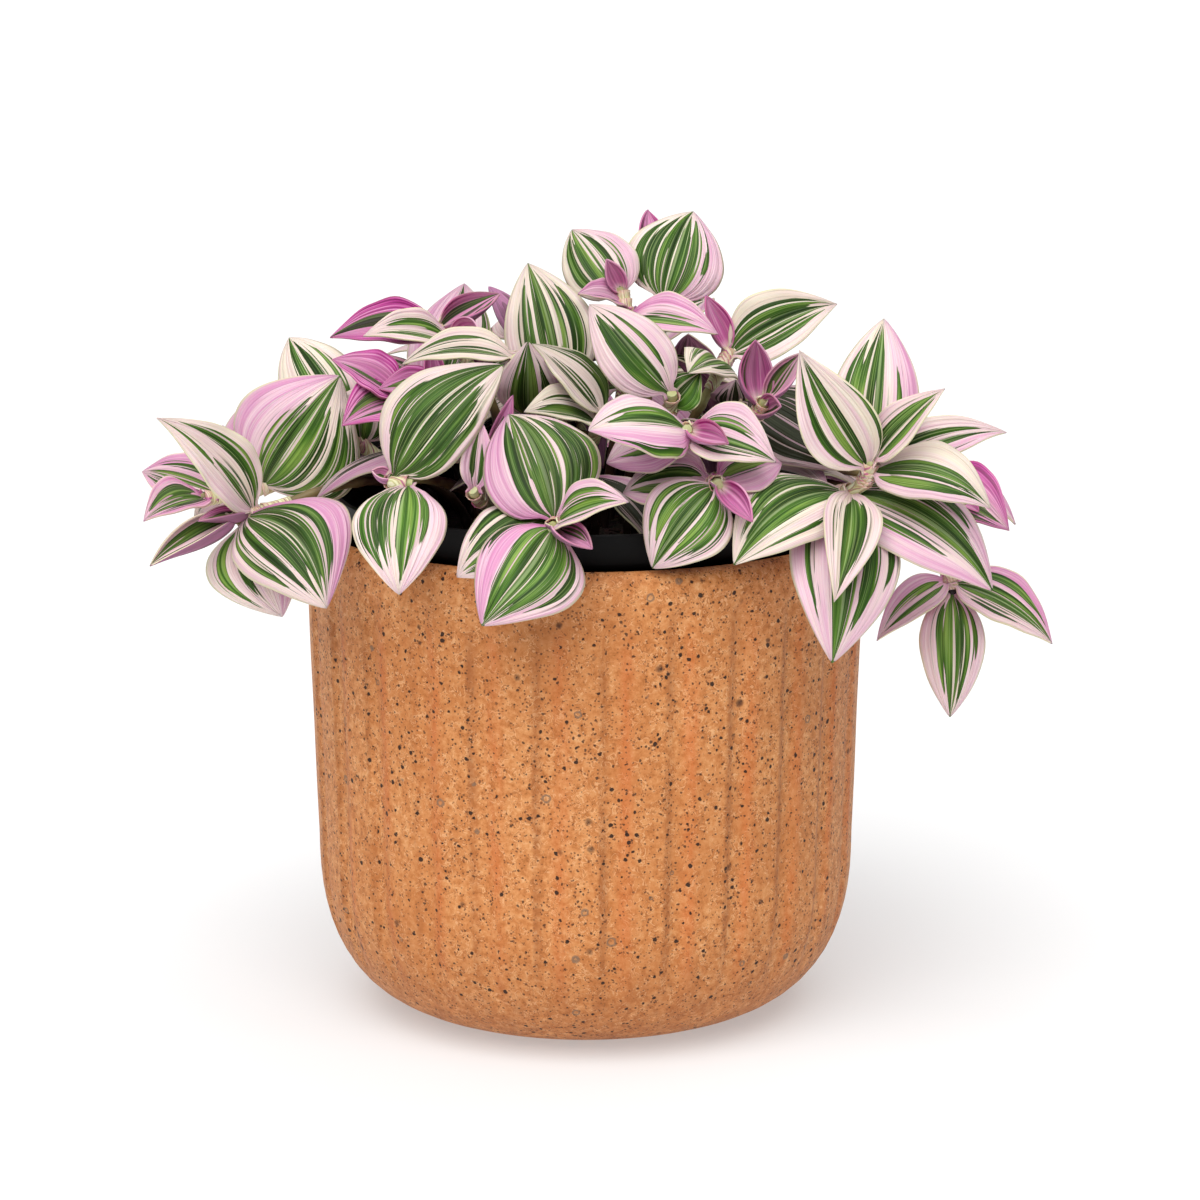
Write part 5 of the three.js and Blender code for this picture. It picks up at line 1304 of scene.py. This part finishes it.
def makeStemTube(shoot):
    spots = [Vector((*shoot["root"], stem["baseHeight"] - stem["sunk"]))]
    spots += [stemPoint(shoot, k / stem["rings"]) for k in range(stem["rings"] + 1)]
    spots.append(Vector(shoot["tip"]) + direction(*shoot["grow"]) * stem["pastEnd"])
    joints = sorted({round(leaf["at"], 2) for leaf in shoot["leaves"]})
    below = [joints[0] - stem["jointSpacing"] * (k + 1) for k in range(stem["jointsBelow"])]
    joints += [joint for joint in below if joint > stem["lowestJoint"]]
    radii = []
    for k in range(len(spots)):
        u = (k - 1) / stem["rings"]
        swell = max(math.exp(-((u - joint) / stem["jointLength"]) ** 2) for joint in joints)
        girth = stem["girth"] + stem["jointSwell"] * swell - stem["thinning"] * max(0, u)
        radii.append(stem["radius"] * girth)
    tube = makeTube(spots, radii, 2, True)
    # darker towards the root and below the crown: partly its age, partly painted shade
    ageAndShadeMarks = []
    for vertex in tube.data.vertices:
        nearest = min(range(len(spots)), key=lambda k: (spots[k] * mm - vertex.co).length_squared)
        fresh = smooth((spots[nearest].z - stem["oldAndShadedUpTo"]) / stem["freshOver"])
        ageAndShadeMarks.append(nearest / len(spots) * fresh)
    markPoints(tube, "blush", ageAndShadeMarks)
    for face in tube.data.polygons:
        face.material_index = 2
    return tube


def makeSheath(shoot, u):  # a short open sleeve below a leaf, flared at its mouth
    length = (Vector(shoot["tip"]) - Vector((*shoot["root"], stem["baseHeight"]))).length
    reach = min(u, stem["sheathLength"] / length)
    shares = [k / stem["sheathRings"] for k in range(stem["sheathRings"] + 1)]
    spots = [stemPoint(shoot, u - reach * (1 - share)) for share in shares]
    radii = [stem["radius"] * (1.0 + stem["sheathTaper"] * share + stem["sheathFlare"] * share ** 4)
             for share in shares]
    sleeve = makeTube(spots, radii, 3, False)
    mouths, flat = [], []
    for vertex in sleeve.data.vertices:
        nearest = min(range(len(spots)), key=lambda k: (spots[k] * mm - vertex.co).length_squared)
        mouths.append(shares[nearest])
        x, y, z = vertex.co / mm
        flat.append((x + y, z))
    markPoints(sleeve, "side", mouths)
    layFlat(sleeve, flat)
    for face in sleeve.data.polygons:
        face.material_index = 3
    thicken(sleeve, stem["sheathWall"])
    return sleeve


plantMaterials = [
    makeLeafSkin("variegated leaf skin", False),
    makeLeafSkin("purple leaf underside", True),
    makeStemSkin(),
    makeSheathSkin(),
]


def solidCorners(node):  # the corners of a shoot's solid, in which its leaves are found again
    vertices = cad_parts[node].data.vertices
    corners = KDTree(len(vertices))
    for k, vertex in enumerate(vertices):
        corners.insert(vertex.co, k)
    corners.balance()
    return corners


def leafLook(shoot, sketch, draw):  # its pink, magenta and bands, by rule where none is given, and how dark it is: painted shade deep in the plant, plus a random tone
    pink, bands = drawBands(draw)
    young = sketch["form"] == "young"
    magenta = draw.uniform(*bandRule["youngMagenta"]) if young else draw.choice(bandRule["magenta"])
    if "look" in sketch:
        pink, magenta, given = sketch["look"]
        bands = bands if given is None else given
    # painted shade by shoot, plus a random tone
    shadeAndTone = shades.get(shoot["name"].rstrip("_123456"), 0) + draw.uniform(0, toneDraw)
    return pink, magenta, bands, min(darkestShadeAndTone, shadeAndTone)


def makeShoots():
    sheet = makeLeafSheet()
    placed, skipped = 0, 0
    for number, shoot in enumerate([readShoot(shoot) for shoot in frontShoots] + makeBackShoots()):
        node = "shoot_" + shoot["name"]
        corners = solidCorners(node)
        draw = random.Random(leafSeed + number)
        pieces = [makeStemTube(shoot)]
        sheathed = set()
        for sketch in shoot["leaves"]:
            leaf = findLeaf(shoot, sketch, corners)
            if leaf is None:
                skipped += 1
                continue
            pieces.append(shapeLeaf(sheet, leaf, leafLook(shoot, sketch, draw), draw))
            place = round(sketch["at"], 2)
            if place not in sheathed and sketch["form"] != "bud":
                pieces.append(makeSheath(shoot, sketch["at"]))
                sheathed.add(place)
            placed += 1
        pick(pieces[0])
        for piece in pieces:
            piece.select_set(True)
        bpy.ops.object.join()
        shootPiece = bpy.context.object
        shootPiece.name = "leafy_" + node
        shootPiece.data.name = shootPiece.name
        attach(shootPiece, "root")
        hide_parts(node)
    bpy.data.objects.remove(sheet)
    print("shoots ready:", placed, "leaves,", skipped, "left out")


makeShoots()
